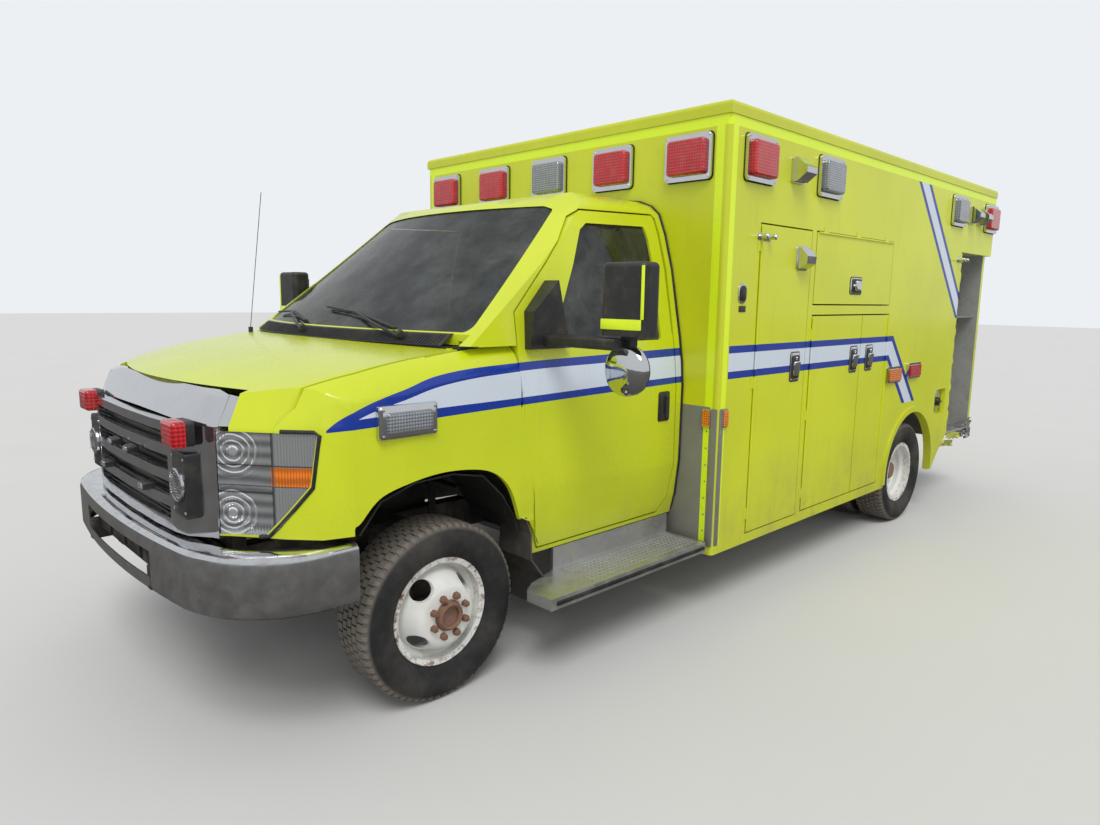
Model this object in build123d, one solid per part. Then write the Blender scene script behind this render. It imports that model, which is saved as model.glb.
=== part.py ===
from build123d import *
import os
from math import atan2, cos, degrees, pi, radians, sin, sqrt

os.makedirs("parts", exist_ok=True)

# Ambulance: a box module on a cutaway van chassis, as it stands after a knock at its rear left corner.
# Millimetres. While it is modelled, X runs forward from the front axle, Y to the left and Z up from
# the ground. On writing, every piece moves forward so that X = 0 lies midway between the bumpers.

# Driving dimensions: running gear
WHEELBASE = 4013
FRONT_TRACK = 1700
REAR_TRACK = 1902
TWIN_SPACING = 262
TYRE_RADIUS = 366
TYRE_WIDTH = 225
RIM_RADIUS = 220
RIM_WIDTH = 172
RIM_WALL = 7
DISC_OFFSET = 131
DISC_WALL = 10
LUG_COUNT = 8
LUG_CIRCLE = 165.1
LUG_ACROSS = 26
LUG_HEIGHT = 26
HAND_HOLES = 8
HAND_HOLE_WIDTH = 34
HAND_HOLE_LENGTH = 52
KINGPIN_Y = 735
KINGPIN_RADIUS = 16
STEER_ARM = 170
STEER_ARM_IN = 40
RUNNING_FIT = 0.3
SEAT = 0.3

# Driving dimensions: frame
RAIL_INNER_Y = 356
RAIL_WIDTH = 76
RAIL_WALL = 8
RAIL_FRONT_X = 800
RAIL_REAR_X = -5440
RAIL_LOW_FRONT = 500
RAIL_LOW_REAR = 560
RAIL_TOP_FRONT = 640
RAIL_TOP_REAR = 735

# Driving dimensions: module
MODULE_FRONT_X = -1479
MODULE_REAR_X = -5500
MODULE_HALF = 1218
MODULE_BOTTOM = 322
WALL = 45
RAIL_EDGE_Z = 2487
MODULE_TOP = 2550
FLOOR_TOP = 840
FLOOR_THICK = 60
LINER = 5
COMPARTMENT_DEPTH = 480
CORNER_RADIUS = 22
ROOF_LIP = 6

# Driving dimensions: openings and their doors
DOOR_GAP = 8
HINGE_RADIUS = 6
DOOR_STEP = 1

# Driving dimensions: cab
CAB_REAR_X = -1465
CAB_WALL = 42
CAB_FLOOR_TOP = 700
CAB_FLOOR_THICK = 20
FIREWALL_X = -430
PANEL = 22
GLASS = 5
BUMPER_FRONT_X = 926
STEP_REAR_X = -5745

TYRE_CENTRE_Z = TYRE_RADIUS
REAR_AXLE_X = -WHEELBASE
ORIGIN_X = (BUMPER_FRONT_X + STEP_REAR_X) / 2
TO_ORIGIN = Pos(-ORIGIN_X, 0, 0)
FLOOR_UNDER = FLOOR_TOP - FLOOR_THICK
INNER_HALF = MODULE_HALF - WALL


# Helpers
def face_of(points, radius=0):
    """Closed outline of straight edges, its corners rounded."""
    face = make_face(Polyline(*points, close=True))
    if radius:
        face = fillet(face.vertices(), radius)
    return face


def side_block(points, y0, y1, radius=0):
    """Outline in X and Z, from y0 to y1."""
    return Pos(0, y1, 0) * extrude(Plane.XZ * face_of(points, radius), amount=y1 - y0)


def cross_block(points, x0, x1, radius=0):
    """Outline in Y and Z, from x0 to x1."""
    return Pos(x0, 0, 0) * extrude(Plane.YZ * face_of(points, radius), amount=x1 - x0)


def plan_block(points, z0, z1, radius=0):
    """Outline in X and Y, from z0 to z1."""
    return Pos(0, 0, z0) * extrude(face_of(points, radius), amount=z1 - z0)


def block(x0, x1, y0, y1, z0, z1):
    """Plain box between two corners."""
    low = (min(x0, x1), min(y0, y1), min(z0, z1))
    size = (abs(x1 - x0), abs(y1 - y0), abs(z1 - z0))
    return Pos(*low) * Box(*size, align=(Align.MIN, Align.MIN, Align.MIN))


def rect(u0, u1, v0, v1):
    """Corners of a rectangle, for an outline."""
    return [(u0, v0), (u1, v0), (u1, v1), (u0, v1)]


def rod(x, z, y0, y1, radius):
    """Cylinder along Y."""
    middle = Pos(x, (y0 + y1) / 2, z)
    return middle * Rot(90, 0, 0) * Cylinder(radius, abs(y1 - y0))


def post(x, y, z0, z1, radius):
    """Cylinder along Z."""
    return Pos(x, y, (z0 + z1) / 2) * Cylinder(radius, abs(z1 - z0))


def bar(x0, x1, y, z, radius):
    """Cylinder along X."""
    return Pos((x0 + x1) / 2, y, z) * Rot(0, 90, 0) * Cylinder(radius, abs(x1 - x0))


def other_side(shape):
    """The same piece on the right."""
    return mirror(shape, about=Plane.XZ)


def both(shape):
    """Left and right pieces together."""
    return [shape, other_side(shape)]


def write(node, *shapes):
    """One STEP file for one node, moved to the common origin."""
    solids = []
    for shape in shapes:
        items = shape if isinstance(shape, (list, tuple)) else [shape]
        for item in items:
            solids += item.solids()
    moved = [TO_ORIGIN * solid for solid in solids]
    whole = moved[0] if len(moved) == 1 else Compound(children=moved)
    export_step(whole, f"parts/{node}.step")
    return whole


# Wheels and tyres
def tyre(centre_y):
    """A tyre as one closed ring: bead, bulged side, round shoulder and flat tread."""
    bead_r = RIM_RADIUS - 14
    bead_w = RIM_WIDTH / 2 - 11
    half = TYRE_WIDTH / 2
    flange = (RIM_RADIUS + 1, RIM_WIDTH / 2 - 8 - SEAT)
    belly = ((RIM_RADIUS + TYRE_RADIUS) / 2 - 8, half)
    shoulder = (TYRE_RADIUS - 22, half - 8)
    edge = (TYRE_RADIUS - 3, half - 27)
    round_off = (TYRE_RADIUS - 9, half - 15)
    side = [
        Line((bead_r, bead_w), flange),
        ThreePointArc(flange, belly, shoulder),
        ThreePointArc(shoulder, round_off, edge),
    ]
    far = [mirror(line, about=Plane.XZ) for line in side]
    ends = [
        ThreePointArc(edge, (TYRE_RADIUS, 0), (edge[0], -edge[1])),
        Line((bead_r, bead_w), (bead_r, -bead_w)),
    ]
    profile = make_face(side + far + ends)
    ring = revolve(profile, axis=Axis.Y)
    return Pos(0, centre_y, TYRE_CENTRE_Z) * ring


def rim_profile():
    """Half section of a drop centre rim, radius against width from its middle."""
    flange = RIM_WIDTH / 2
    seat_r = RIM_RADIUS - 15
    well_r = RIM_RADIUS - 36
    outside = [
        (RIM_RADIUS, flange),
        (RIM_RADIUS, flange - 7),
        (seat_r, flange - 7),
        (seat_r, 44),
        (well_r, 26),
        (well_r, -26),
        (seat_r, -44),
        (seat_r, 7 - flange),
        (RIM_RADIUS, 7 - flange),
        (RIM_RADIUS, -flange),
    ]
    inside = [
        (seat_r - RIM_WALL, -flange),
        (seat_r - RIM_WALL, -40),
        (well_r - RIM_WALL, -22),
        (well_r - RIM_WALL, 22),
        (seat_r - RIM_WALL, 40),
        (seat_r - RIM_WALL, flange),
    ]
    return outside + inside


def wheel_disc():
    """Dished disc: its mounting face lies DISC_OFFSET from the rim's middle, on +Y."""
    well_r = RIM_RADIUS - 36 - RIM_WALL / 2
    mount_r = LUG_CIRCLE / 2 + 24
    face = DISC_OFFSET
    outline = [
        (0, face),
        (mount_r, face),
        (mount_r + 22, face - 8),
        (well_r - 16, face - 84),
        (well_r, face - 112),
        (well_r, face - 128),
        (well_r - 22, face - 100),
        (mount_r + 14, face - 8 - DISC_WALL),
        (mount_r - 4, face - DISC_WALL),
        (0, face - DISC_WALL),
    ]
    disc = revolve(make_face(Polyline(*outline, close=True)), axis=Axis.Y)
    hole_r = (mount_r + well_r) / 2 + 8
    slot = Plane.XZ * SlotOverall(HAND_HOLE_LENGTH, HAND_HOLE_WIDTH)
    cutter = Pos(0, face + 20, hole_r) * extrude(slot, amount=160)
    for index in range(HAND_HOLES):
        disc -= Rot(0, index * 360 / HAND_HOLES, 0) * cutter
    return disc


def lugs(face_y):
    """Nuts in their circle, standing out from face_y."""
    nuts = []
    for index in range(LUG_COUNT):
        angle = (index + 0.5) * 2 * pi / LUG_COUNT
        place = Pos(LUG_CIRCLE / 2 * cos(angle), face_y, LUG_CIRCLE / 2 * sin(angle))
        hexagon = Plane.XZ * RegularPolygon(LUG_ACROSS / 2, 6, major_radius=False)
        nuts.append(place * extrude(hexagon, amount=-LUG_HEIGHT))
    return nuts


def rim_and_disc(turned):
    """One pressed wheel about Y: turned means that its mounting face looks inwards."""
    rim = revolve(make_face(Polyline(*rim_profile(), close=True)), axis=Axis.Y)
    wheel = rim + wheel_disc()
    return Rot(180, 0, 0) * wheel if turned else wheel


HUB_BORE = 30
HUB_NOSE = 62
HUB_REACH = 18


def front_wheel():
    """Front wheel with hub, brake disc and nuts, spinning on the knuckle's spindle."""
    face = DISC_OFFSET
    wheel = rim_and_disc(False)
    wheel += rod(0, 0, -40, face + 4, 58)
    wheel += rod(0, 0, face, face + HUB_REACH, HUB_NOSE)
    wheel += rod(0, 0, -48, -26, 160)
    for nut in lugs(face):
        wheel += nut
    wheel -= rod(0, 0, -60, face - 20, HUB_BORE + RUNNING_FIT)
    return Pos(0, FRONT_TRACK / 2, TYRE_CENTRE_Z) * wheel


REAR_SPINDLE = 40


def rear_wheels():
    """Twin rear wheels back to back on one hub, with their drum."""
    half = TWIN_SPACING / 2
    outer = Pos(0, half, 0) * rim_and_disc(True)
    inner = Pos(0, -half, 0) * rim_and_disc(False)
    hub = rod(0, 0, -190, 150, 72) + rod(0, 0, 150, 162, 54)
    hub += rod(0, 0, -175, -DISC_WALL / 2, 158)
    pair = outer + inner + hub
    for nut in lugs(DISC_OFFSET - half + DISC_WALL):
        pair += nut
    pair -= rod(0, 0, -200, 60, REAR_SPINDLE + RUNNING_FIT)
    return Pos(REAR_AXLE_X, REAR_TRACK / 2, TYRE_CENTRE_Z) * pair


front_tyre = tyre(FRONT_TRACK / 2)
write("front_tyre_left", front_tyre)
write("front_tyre_right", other_side(front_tyre))
left_front_wheel = front_wheel()
write("front_wheel_left", left_front_wheel)
write("front_wheel_right", other_side(left_front_wheel))
rear_tyres = [
    Pos(REAR_AXLE_X, 0, 0) * tyre(REAR_TRACK / 2 + shift) for shift in (TWIN_SPACING / 2, -TWIN_SPACING / 2)
]
write("rear_tyres_left", rear_tyres)
write("rear_tyres_right", [other_side(ring) for ring in rear_tyres])
left_rear_wheels = rear_wheels()
write("rear_wheels_left", left_rear_wheels)
write("rear_wheels_right", other_side(left_rear_wheels))

# Front axle: beams, springs, knuckles and tie rod
EYE_RADIUS = 40
EYE_LOW = TYRE_CENTRE_Z - 112
EYE_HIGH = TYRE_CENTRE_Z + 108
EAR_THICK = 26
KNUCKLE_PLATE_Y = KINGPIN_Y + EYE_RADIUS + 6
KNUCKLE_PLATE_THICK = 12
BEAM_PIVOT_Y = 190
BEAM_LOW = 300
BEAM_HIGH = 400
BEAM_WIDTH = 56
BEAM_SPLIT = 34
SPRING_Y = 560
SPRING_RADIUS = 62


def knuckle():
    """Ears above and below the eye, plate, spindle and steering arm."""
    low_ear = EYE_LOW - SEAT - EAR_THICK
    piece = None
    for z0 in (low_ear, EYE_HIGH + SEAT):
        ear = plan_block(rect(-36, 36, KINGPIN_Y, KNUCKLE_PLATE_Y + 2), z0, z0 + EAR_THICK)
        ear += post(0, KINGPIN_Y, z0, z0 + EAR_THICK, 36)
        piece = ear if piece is None else piece + ear
    plate_z = (low_ear, EYE_HIGH + SEAT + EAR_THICK)
    piece += block(-44, 44, KNUCKLE_PLATE_Y, KNUCKLE_PLATE_Y + KNUCKLE_PLATE_THICK, *plate_z)
    spindle_end = FRONT_TRACK / 2 + DISC_OFFSET - 40
    piece += rod(0, TYRE_CENTRE_Z, KNUCKLE_PLATE_Y, spindle_end, HUB_BORE)
    arm_end = (-STEER_ARM - 10, KINGPIN_Y - STEER_ARM_IN - 18)
    arm = plan_block([(-10, KINGPIN_Y + 30), (-10, KINGPIN_Y - 34), arm_end, (-STEER_ARM, KINGPIN_Y - STEER_ARM_IN + 20)],
                     low_ear, low_ear + EAR_THICK)
    arm += post(-STEER_ARM, KINGPIN_Y - STEER_ARM_IN, low_ear, low_ear + EAR_THICK, 22)
    piece += arm
    bore = KINGPIN_RADIUS + RUNNING_FIT
    piece -= post(0, KINGPIN_Y, low_ear - 5, EYE_LOW, bore)
    piece -= post(0, KINGPIN_Y, EYE_HIGH, plate_z[1] + 5, bore)
    return piece


def front_beam():
    """One swinging I beam, from its pivot past the middle to the kingpin."""
    outer_y = KINGPIN_Y - EYE_RADIUS + 8
    centre = BEAM_SPLIT
    outline = [
        (centre - BEAM_WIDTH / 2, -BEAM_PIVOT_Y),
        (centre + BEAM_WIDTH / 2, -BEAM_PIVOT_Y),
        (centre + BEAM_WIDTH / 2, outer_y - 180),
        (BEAM_WIDTH / 2, outer_y),
        (-BEAM_WIDTH / 2, outer_y),
        (centre - BEAM_WIDTH / 2, outer_y - 180),
    ]
    beam = plan_block(outline, BEAM_LOW, BEAM_HIGH)
    web = plan_block([(x + 400, y) for x, y in outline], BEAM_LOW + 18, BEAM_HIGH - 18)
    for side in (1, -1):
        beam -= Pos(-400 + side * (BEAM_WIDTH - 16), 0, 0) * web
    beam += post(0, KINGPIN_Y, EYE_LOW, EYE_HIGH, EYE_RADIUS)
    pin_ends = (EYE_LOW - EAR_THICK - 2, EYE_HIGH + EAR_THICK + 2)
    beam += post(0, KINGPIN_Y, *pin_ends, KINGPIN_RADIUS)
    beam += rod(centre, (BEAM_LOW + BEAM_HIGH) / 2, -BEAM_PIVOT_Y - 4, -BEAM_PIVOT_Y + 40, 46)
    seat_z = BEAM_HIGH
    beam += post(centre, SPRING_Y, seat_z - 20, seat_z + 14, SPRING_RADIUS)
    return beam


def coil_spring():
    """Coil spring between beam and frame, as a grooved sleeve."""
    low = BEAM_HIGH + 14 + SEAT
    high = RAIL_TOP_FRONT + 26
    turns = 7
    pitch = (high - low) / turns
    outline = [(SPRING_RADIUS - 16, low), (SPRING_RADIUS - 16, high)]
    for index in range(turns, 0, -1):
        top = low + index * pitch
        outline += [(SPRING_RADIUS - 6, top), (SPRING_RADIUS, top - pitch / 2)]
    outline.append((SPRING_RADIUS - 6, low))
    ring = revolve(Plane.XZ * make_face(Polyline(*outline, close=True)), axis=Axis.Z)
    return Pos(BEAM_SPLIT, SPRING_Y, 0) * ring


def spring_perch():
    """Tower on the rail that the coil spring stands under."""
    low = RAIL_TOP_FRONT + 26 + SEAT
    tower = block(BEAM_SPLIT - 75, BEAM_SPLIT + 75, RAIL_INNER_Y + RAIL_WIDTH - 2, SPRING_Y + 75, low, low + 12)
    tower += block(BEAM_SPLIT - 75, BEAM_SPLIT + 75, RAIL_INNER_Y + RAIL_WIDTH - 2,
                   RAIL_INNER_Y + RAIL_WIDTH + 10, RAIL_LOW_FRONT, low + 12)
    return tower


left_beam = front_beam()
right_beam = Rot(0, 0, 180) * left_beam
write("front_beams", left_beam, right_beam)
left_coil = coil_spring()
left_knuckle = knuckle()
write("knuckle_left", left_knuckle)
write("knuckle_right", other_side(left_knuckle))

TIE_RADIUS = 15
tie_top = EYE_LOW - SEAT - EAR_THICK - SEAT
tie_y = KINGPIN_Y - STEER_ARM_IN
tie_rod = rod(-STEER_ARM, tie_top - 24, -tie_y, tie_y, TIE_RADIUS)
for side in (1, -1):
    tie_rod += post(-STEER_ARM, side * tie_y, tie_top - 46, tie_top, 20)
write("tie_rod", tie_rod)

# Chassis frame
RAIL_BEND_FRONT_X = -1500
RAIL_BEND_REAR_X = -1720
rail_outline = [
    (RAIL_FRONT_X, RAIL_LOW_FRONT),
    (RAIL_FRONT_X, RAIL_TOP_FRONT),
    (RAIL_BEND_FRONT_X, RAIL_TOP_FRONT),
    (RAIL_BEND_REAR_X, RAIL_TOP_REAR),
    (RAIL_REAR_X, RAIL_TOP_REAR),
    (RAIL_REAR_X, RAIL_LOW_REAR),
    (RAIL_BEND_REAR_X, RAIL_LOW_REAR),
    (RAIL_BEND_FRONT_X, RAIL_LOW_FRONT),
]
RAIL_OUTER_Y = RAIL_INNER_Y + RAIL_WIDTH
rail = side_block(rail_outline, RAIL_INNER_Y, RAIL_OUTER_Y)
pocket_face = offset(Plane.XZ * face_of(rail_outline), amount=-RAIL_WALL)
pocket = Pos(0, RAIL_OUTER_Y - RAIL_WALL, 0) * extrude(pocket_face, amount=RAIL_WIDTH)
rail -= pocket

# Crossmembers: x, low z, high z, length along X
CROSSMEMBERS = [
    (700, RAIL_LOW_FRONT, RAIL_TOP_FRONT, 60),
    (30, RAIL_LOW_FRONT - 40, RAIL_LOW_FRONT + 60, 240),
    (-1000, RAIL_LOW_FRONT - 10, RAIL_LOW_FRONT + 50, 90),
    (-2450, RAIL_LOW_REAR + 40, RAIL_TOP_REAR - 20, 60),
    (-3300, RAIL_LOW_REAR + 20, RAIL_TOP_REAR - 20, 60),
    (-4720, RAIL_LOW_REAR + 20, RAIL_TOP_REAR - 20, 60),
    (-5400, RAIL_LOW_REAR, RAIL_TOP_REAR, 60),
]
left_rail = rail
right_rail = other_side(rail)
# Each crossmember butts on the flanges, and its tongues reach into the channels
butt_half = RAIL_INNER_Y - SEAT
tongue_half = RAIL_OUTER_Y - RAIL_WALL - SEAT
members = []
for cross_x, cross_low, cross_high, cross_length in CROSSMEMBERS:
    rear, front = cross_x - cross_length / 2, cross_x + cross_length / 2
    flange_low = (RAIL_LOW_FRONT if cross_x > RAIL_BEND_FRONT_X else RAIL_LOW_REAR) + RAIL_WALL + SEAT
    flange_high = (RAIL_TOP_FRONT if cross_x > RAIL_BEND_FRONT_X else RAIL_TOP_REAR) - RAIL_WALL - SEAT
    member = block(rear, front, -butt_half, butt_half, cross_low, cross_high)
    member += block(rear, front, -tongue_half, tongue_half, max(cross_low, flange_low), min(cross_high, flange_high))
    members.append(member)
# Beam pivots hang from the engine crossmember
for side in (1, -1):
    plate_y = -side * (BEAM_PIVOT_Y + 4 + SEAT)
    members[1] += block(side * (BEAM_SPLIT - 26), side * (BEAM_SPLIT + 46), plate_y, plate_y - side * 14,
                        BEAM_LOW - 10, RAIL_LOW_FRONT + 10)
# Spring hangers
SPRING_HALF = 700
LEAF_Y = 500
LEAF_WIDTH = 76
LEAF_EYE_Z = 610
HANGER = 44
for end in (1, -1):
    hanger = block(REAR_AXLE_X + end * (SPRING_HALF + 2) - HANGER / 2, REAR_AXLE_X + end * (SPRING_HALF + 2) + HANGER / 2,
                   RAIL_OUTER_Y - 4, LEAF_Y + LEAF_WIDTH / 2, LEAF_EYE_Z + 30 + SEAT, LEAF_EYE_Z + 60)
    left_rail += hanger
    right_rail += other_side(hanger)
left_perch = spring_perch()
left_rail += left_perch
right_rail += Rot(0, 0, 180) * left_perch
# Body mounts under cab and module
CAB_MOUNTS_X = (-560, -1380)
MODULE_MOUNTS_X = (-1800, -2700, -3500, -4550, -5300)
mount_y = RAIL_INNER_Y + RAIL_WIDTH / 2
for mount_x in CAB_MOUNTS_X:
    puck = post(mount_x, mount_y, RAIL_TOP_FRONT - 4, CAB_FLOOR_TOP - CAB_FLOOR_THICK, 34)
    left_rail += puck
    right_rail += other_side(puck)
for mount_x in MODULE_MOUNTS_X:
    puck = post(mount_x, mount_y, RAIL_TOP_REAR - 4, FLOOR_UNDER, 34)
    left_rail += puck
    right_rail += other_side(puck)
# Cross straps that the fuel tank hangs from
for strap_x in (-4900, -5200):
    members.append(block(strap_x - 25, strap_x + 25, -butt_half, butt_half, RAIL_LOW_REAR, RAIL_LOW_REAR + 12))
TIE_HOLE_X = 352
TIE_HOLE_Z = 570
TIE_HOLE_RADIUS = 16
tie_hole = rod(TIE_HOLE_X, TIE_HOLE_Z, RAIL_OUTER_Y - RAIL_WALL - 5, RAIL_OUTER_Y + 5, TIE_HOLE_RADIUS)
left_rail -= tie_hole
right_rail -= other_side(tie_hole)
write("chassis_frame", left_rail, right_rail, members)

# Rear axle, leaf springs, drive shaft
PAD_TOP = TYRE_CENTRE_Z + 62
drum_inner_y = REAR_TRACK / 2 - 190
axle = rod(REAR_AXLE_X, TYRE_CENTRE_Z, -drum_inner_y + 12, drum_inner_y - 12, 52)
axle += rod(REAR_AXLE_X, TYRE_CENTRE_Z, -drum_inner_y - 230, drum_inner_y + 230, REAR_SPINDLE)
axle += Pos(REAR_AXLE_X, 0, TYRE_CENTRE_Z) * Sphere(165)
axle += Pos(REAR_AXLE_X + 150, 0, TYRE_CENTRE_Z) * Rot(0, 90, 0) * Cone(90, 48, 180)
for side in (1, -1):
    axle += block(REAR_AXLE_X - 70, REAR_AXLE_X + 70, side * LEAF_Y - LEAF_WIDTH / 2,
                  side * LEAF_Y + LEAF_WIDTH / 2, TYRE_CENTRE_Z + 20, PAD_TOP)
write("rear_axle", axle)

leaf_low = PAD_TOP + SEAT
LEAF_THICK = 44
LEAF_RISE = LEAF_EYE_Z - leaf_low - 30
arc_low = ThreePointArc((-SPRING_HALF, leaf_low + LEAF_RISE), (0, leaf_low), (SPRING_HALF, leaf_low + LEAF_RISE))
arc_high = ThreePointArc((-SPRING_HALF, leaf_low + LEAF_RISE + 14), (0, leaf_low + LEAF_THICK),
                         (SPRING_HALF, leaf_low + LEAF_RISE + 14))
leaf_ends = [Line(arc_low @ 0, arc_high @ 0), Line(arc_low @ 1, arc_high @ 1)]
leaf_face = Plane.XZ * make_face([arc_low, arc_high] + leaf_ends)
leaf = Pos(REAR_AXLE_X, LEAF_Y + LEAF_WIDTH / 2, 0) * extrude(leaf_face, amount=LEAF_WIDTH)
for end in (1, -1):
    leaf += rod(REAR_AXLE_X + end * SPRING_HALF, LEAF_EYE_Z, LEAF_Y - LEAF_WIDTH / 2, LEAF_Y + LEAF_WIDTH / 2, 30)
write("springs", left_coil, Rot(0, 0, 180) * left_coil, both(leaf))

SHAFT_FRONT_X = -1120
SHAFT_FRONT_Z = 581
shaft_rear_x = REAR_AXLE_X + 240 + SEAT
shaft_run = SHAFT_FRONT_X - shaft_rear_x
shaft_drop = SHAFT_FRONT_Z - TYRE_CENTRE_Z
shaft_length = sqrt(shaft_run ** 2 + shaft_drop ** 2)
shaft = Pos((SHAFT_FRONT_X + shaft_rear_x) / 2, 0, (SHAFT_FRONT_Z + TYRE_CENTRE_Z) / 2)
shaft = shaft * Rot(0, 90 - degrees(atan2(shaft_drop, shaft_run)), 0) * Cylinder(44, shaft_length - 34)
shaft += bar(shaft_rear_x, shaft_rear_x + 34, 0, TYRE_CENTRE_Z, 58)
shaft += bar(SHAFT_FRONT_X, SHAFT_FRONT_X - 34, 0, SHAFT_FRONT_Z, 58)
shaft += bar(SHAFT_FRONT_X + 20 - SEAT, SHAFT_FRONT_X - 10, 0, SHAFT_FRONT_Z, 28)
write("drive_shaft", shaft)

# Engine and gearbox as one plain block
ENGINE_FRONT_X = 420
ENGINE_REAR_X = -400
engine_low = RAIL_LOW_FRONT + 60
engine = block(ENGINE_REAR_X, ENGINE_FRONT_X, -250, 250, engine_low, 1120)
engine += side_block([(ENGINE_REAR_X + 5, 580), (ENGINE_REAR_X + 5, 665), (SHAFT_FRONT_X + 20, 610),
                      (SHAFT_FRONT_X + 20, 552), (-1000, RAIL_LOW_FRONT + 50)], -130, 130)
write("engine_block", engine)

# Fuel tank and exhaust
tank = block(-5340, -4760, -RAIL_INNER_Y + 40, RAIL_INNER_Y - 40, 390, RAIL_LOW_REAR - SEAT)
tank = fillet(tank.edges().filter_by(Axis.Y), 40)
write("fuel_tank", tank)

EXHAUST_Y = -560
EXHAUST_Z = 430
path = FilletPolyline((-420, EXHAUST_Y + 60, EXHAUST_Z + 2), (-1700, EXHAUST_Y, EXHAUST_Z), (-3330, EXHAUST_Y, EXHAUST_Z),
                      (-3420, -1150, EXHAUST_Z - 40), radius=90)
pipe_face = Plane(origin=path @ 0, z_dir=path % 0) * Circle(32)
exhaust = sweep(pipe_face, path=path)
exhaust += bar(-2750, -1950, EXHAUST_Y, EXHAUST_Z, 92)
for hanger_x in (-1900, -2800):
    exhaust += block(hanger_x - 20, hanger_x + 20, EXHAUST_Y - 14, -RAIL_OUTER_Y - SEAT, EXHAUST_Z, EXHAUST_Z + 10)
    exhaust += block(hanger_x - 20, hanger_x + 20, -RAIL_OUTER_Y - SEAT - 8, -RAIL_OUTER_Y - SEAT,
                     EXHAUST_Z, RAIL_LOW_REAR + 60)
write("exhaust", exhaust)

# Cab body form: side outline, cross section and windscreen surface
SILL_Z = 505
BELT_Z = 1425
OPEN_BELOW = 200


def roof_outline(low_z, rear_x):
    """Side outline of the cab: sill, nose of the floor, screen base, roof."""
    return [(rear_x, low_z), (-160, low_z), (-160, BELT_Z), (60, BELT_Z), (-640, 2030),
            (-800, 2090), (-1050, 2130), (CAB_REAR_X, 2158), (rear_x, 2158)]


def cab_section(low_z):
    """Half width against height, from the sill to the roof crown."""
    return [(955, low_z), (955, SILL_Z), (980, 610), (1000, 790), (1003, 1180), (994, 1300), (974, 1430),
            (909, 1766), (858, 1943), (815, 2046), (765, 2088), (690, 2116), (400, 2146), (0, 2160)]


SCREEN_LOW_Z = 1400
SCREEN_HIGH_Z = 2200
SCREEN_BASE = (0, 1460)
SCREEN_HEAD = (-693, 2050)
SCREEN_SWEEP = 150
SCREEN_HALF_LOW = 940
SCREEN_HALF_HIGH = 717


def cab_form(inset):
    """Solid cab, its skin moved inwards by inset."""
    low_z = SILL_Z - (OPEN_BELOW if inset else 1)
    rear_x = CAB_REAR_X - (OPEN_BELOW if inset else 1)
    outline = face_of(roof_outline(low_z, rear_x))
    half = cab_section(low_z)
    section = face_of(half + [(-y, z) for y, z in reversed(half[:-1])])
    if inset:
        outline = offset(outline, amount=-inset)
        section = offset(section, amount=-inset)
    side = Pos(0, 1100, 0) * extrude(Plane.XZ * outline, amount=2200)
    cross = Pos(-1900, 0, 0) * extrude(Plane.YZ * section, amount=2000)
    lean = (SCREEN_HEAD[0] - SCREEN_BASE[0]) / (SCREEN_HEAD[1] - SCREEN_BASE[1])
    sheets = []
    for z in (SCREEN_LOW_Z, SCREEN_HIGH_Z):
        share = (z - SCREEN_BASE[1]) / (SCREEN_HEAD[1] - SCREEN_BASE[1])
        front = SCREEN_BASE[0] + lean * (z - SCREEN_BASE[1]) - inset * 1.45
        half_y = SCREEN_HALF_LOW + (SCREEN_HALF_HIGH - SCREEN_HALF_LOW) * share
        wide = 1100
        drop = SCREEN_SWEEP * (wide / half_y) ** 2
        arc = ThreePointArc((front - drop, wide), (front, 0), (front - drop, -wide))
        edges = [arc, Polyline((front - drop, -wide), (-1900, -wide), (-1900, wide), (front - drop, wide))]
        sheets.append(Pos(0, 0, z) * make_face(edges))
    screen = loft(sheets, ruled=True)
    low = block(-1900, 100, -wide, wide, SILL_Z - OPEN_BELOW - 10, SCREEN_LOW_Z)
    return side & cross & (screen + low)


cab_outer = cab_form(0)
cab_inner = cab_form(CAB_WALL)

# Cab door: outline in X and Z, and its window
CAB_DOOR = [
    (-360, 1558), (-352, 1330), (-380, 1080), (-430, 830), (-468, 570), (-493, 522), (-1346, 522),
    (-1410, 600), (-1432, 770), (-1420, 1290), (-1428, 1780), (-1425, 2020), (-1400, 2042), (-860, 2022), (-800, 1985),
]
CAB_WINDOW = [
    (-560, 1418), (-1318, 1418), (-1324, 1900), (-1310, 1972), (-885, 1958), (-835, 1925),
]
"""Door and window outlines follow the gaps seen from the side."""
FRAME_GAP = 8
FRAME_REAR_X = -1408


def door_prism(outline, amount, y0, y1):
    """Outline grown by amount, as a block on the left side."""
    face = face_of(outline, 12)
    if amount:
        face = offset(face, amount=amount)
    return Pos(0, y1, 0) * extrude(Plane.XZ * face, amount=y1 - y0)


opening = door_prism(CAB_DOOR, 0, 500, 1100)
leaf_prism = door_prism(CAB_DOOR, -FRAME_GAP, 500, 1100)
# The window frame leans in, so its rear edge swings back as the door opens
leaf_prism -= block(CAB_REAR_X - 50, FRAME_REAR_X, 400, 1150, BELT_Z + 20, 2200)
window_prism = door_prism(CAB_WINDOW, 0, 500, 1100)
glass_prism = door_prism(CAB_WINDOW, -SEAT, 500, 1100)
cab_skin = cab_outer - cab_inner
door_left = (cab_skin & leaf_prism) - window_prism
glass_outer = cab_form(12)
glass_inner = cab_form(12 + GLASS)
door_glass = (glass_outer - glass_inner) & glass_prism
HINGE_X = -373
HINGE_Y = 1001
CAB_HINGE_RADIUS = 3.5
CAB_HINGE_LOW = 1130
CAB_HINGE_STEP = 20
CAB_HINGE_PLATE = (995, 999)


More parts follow.
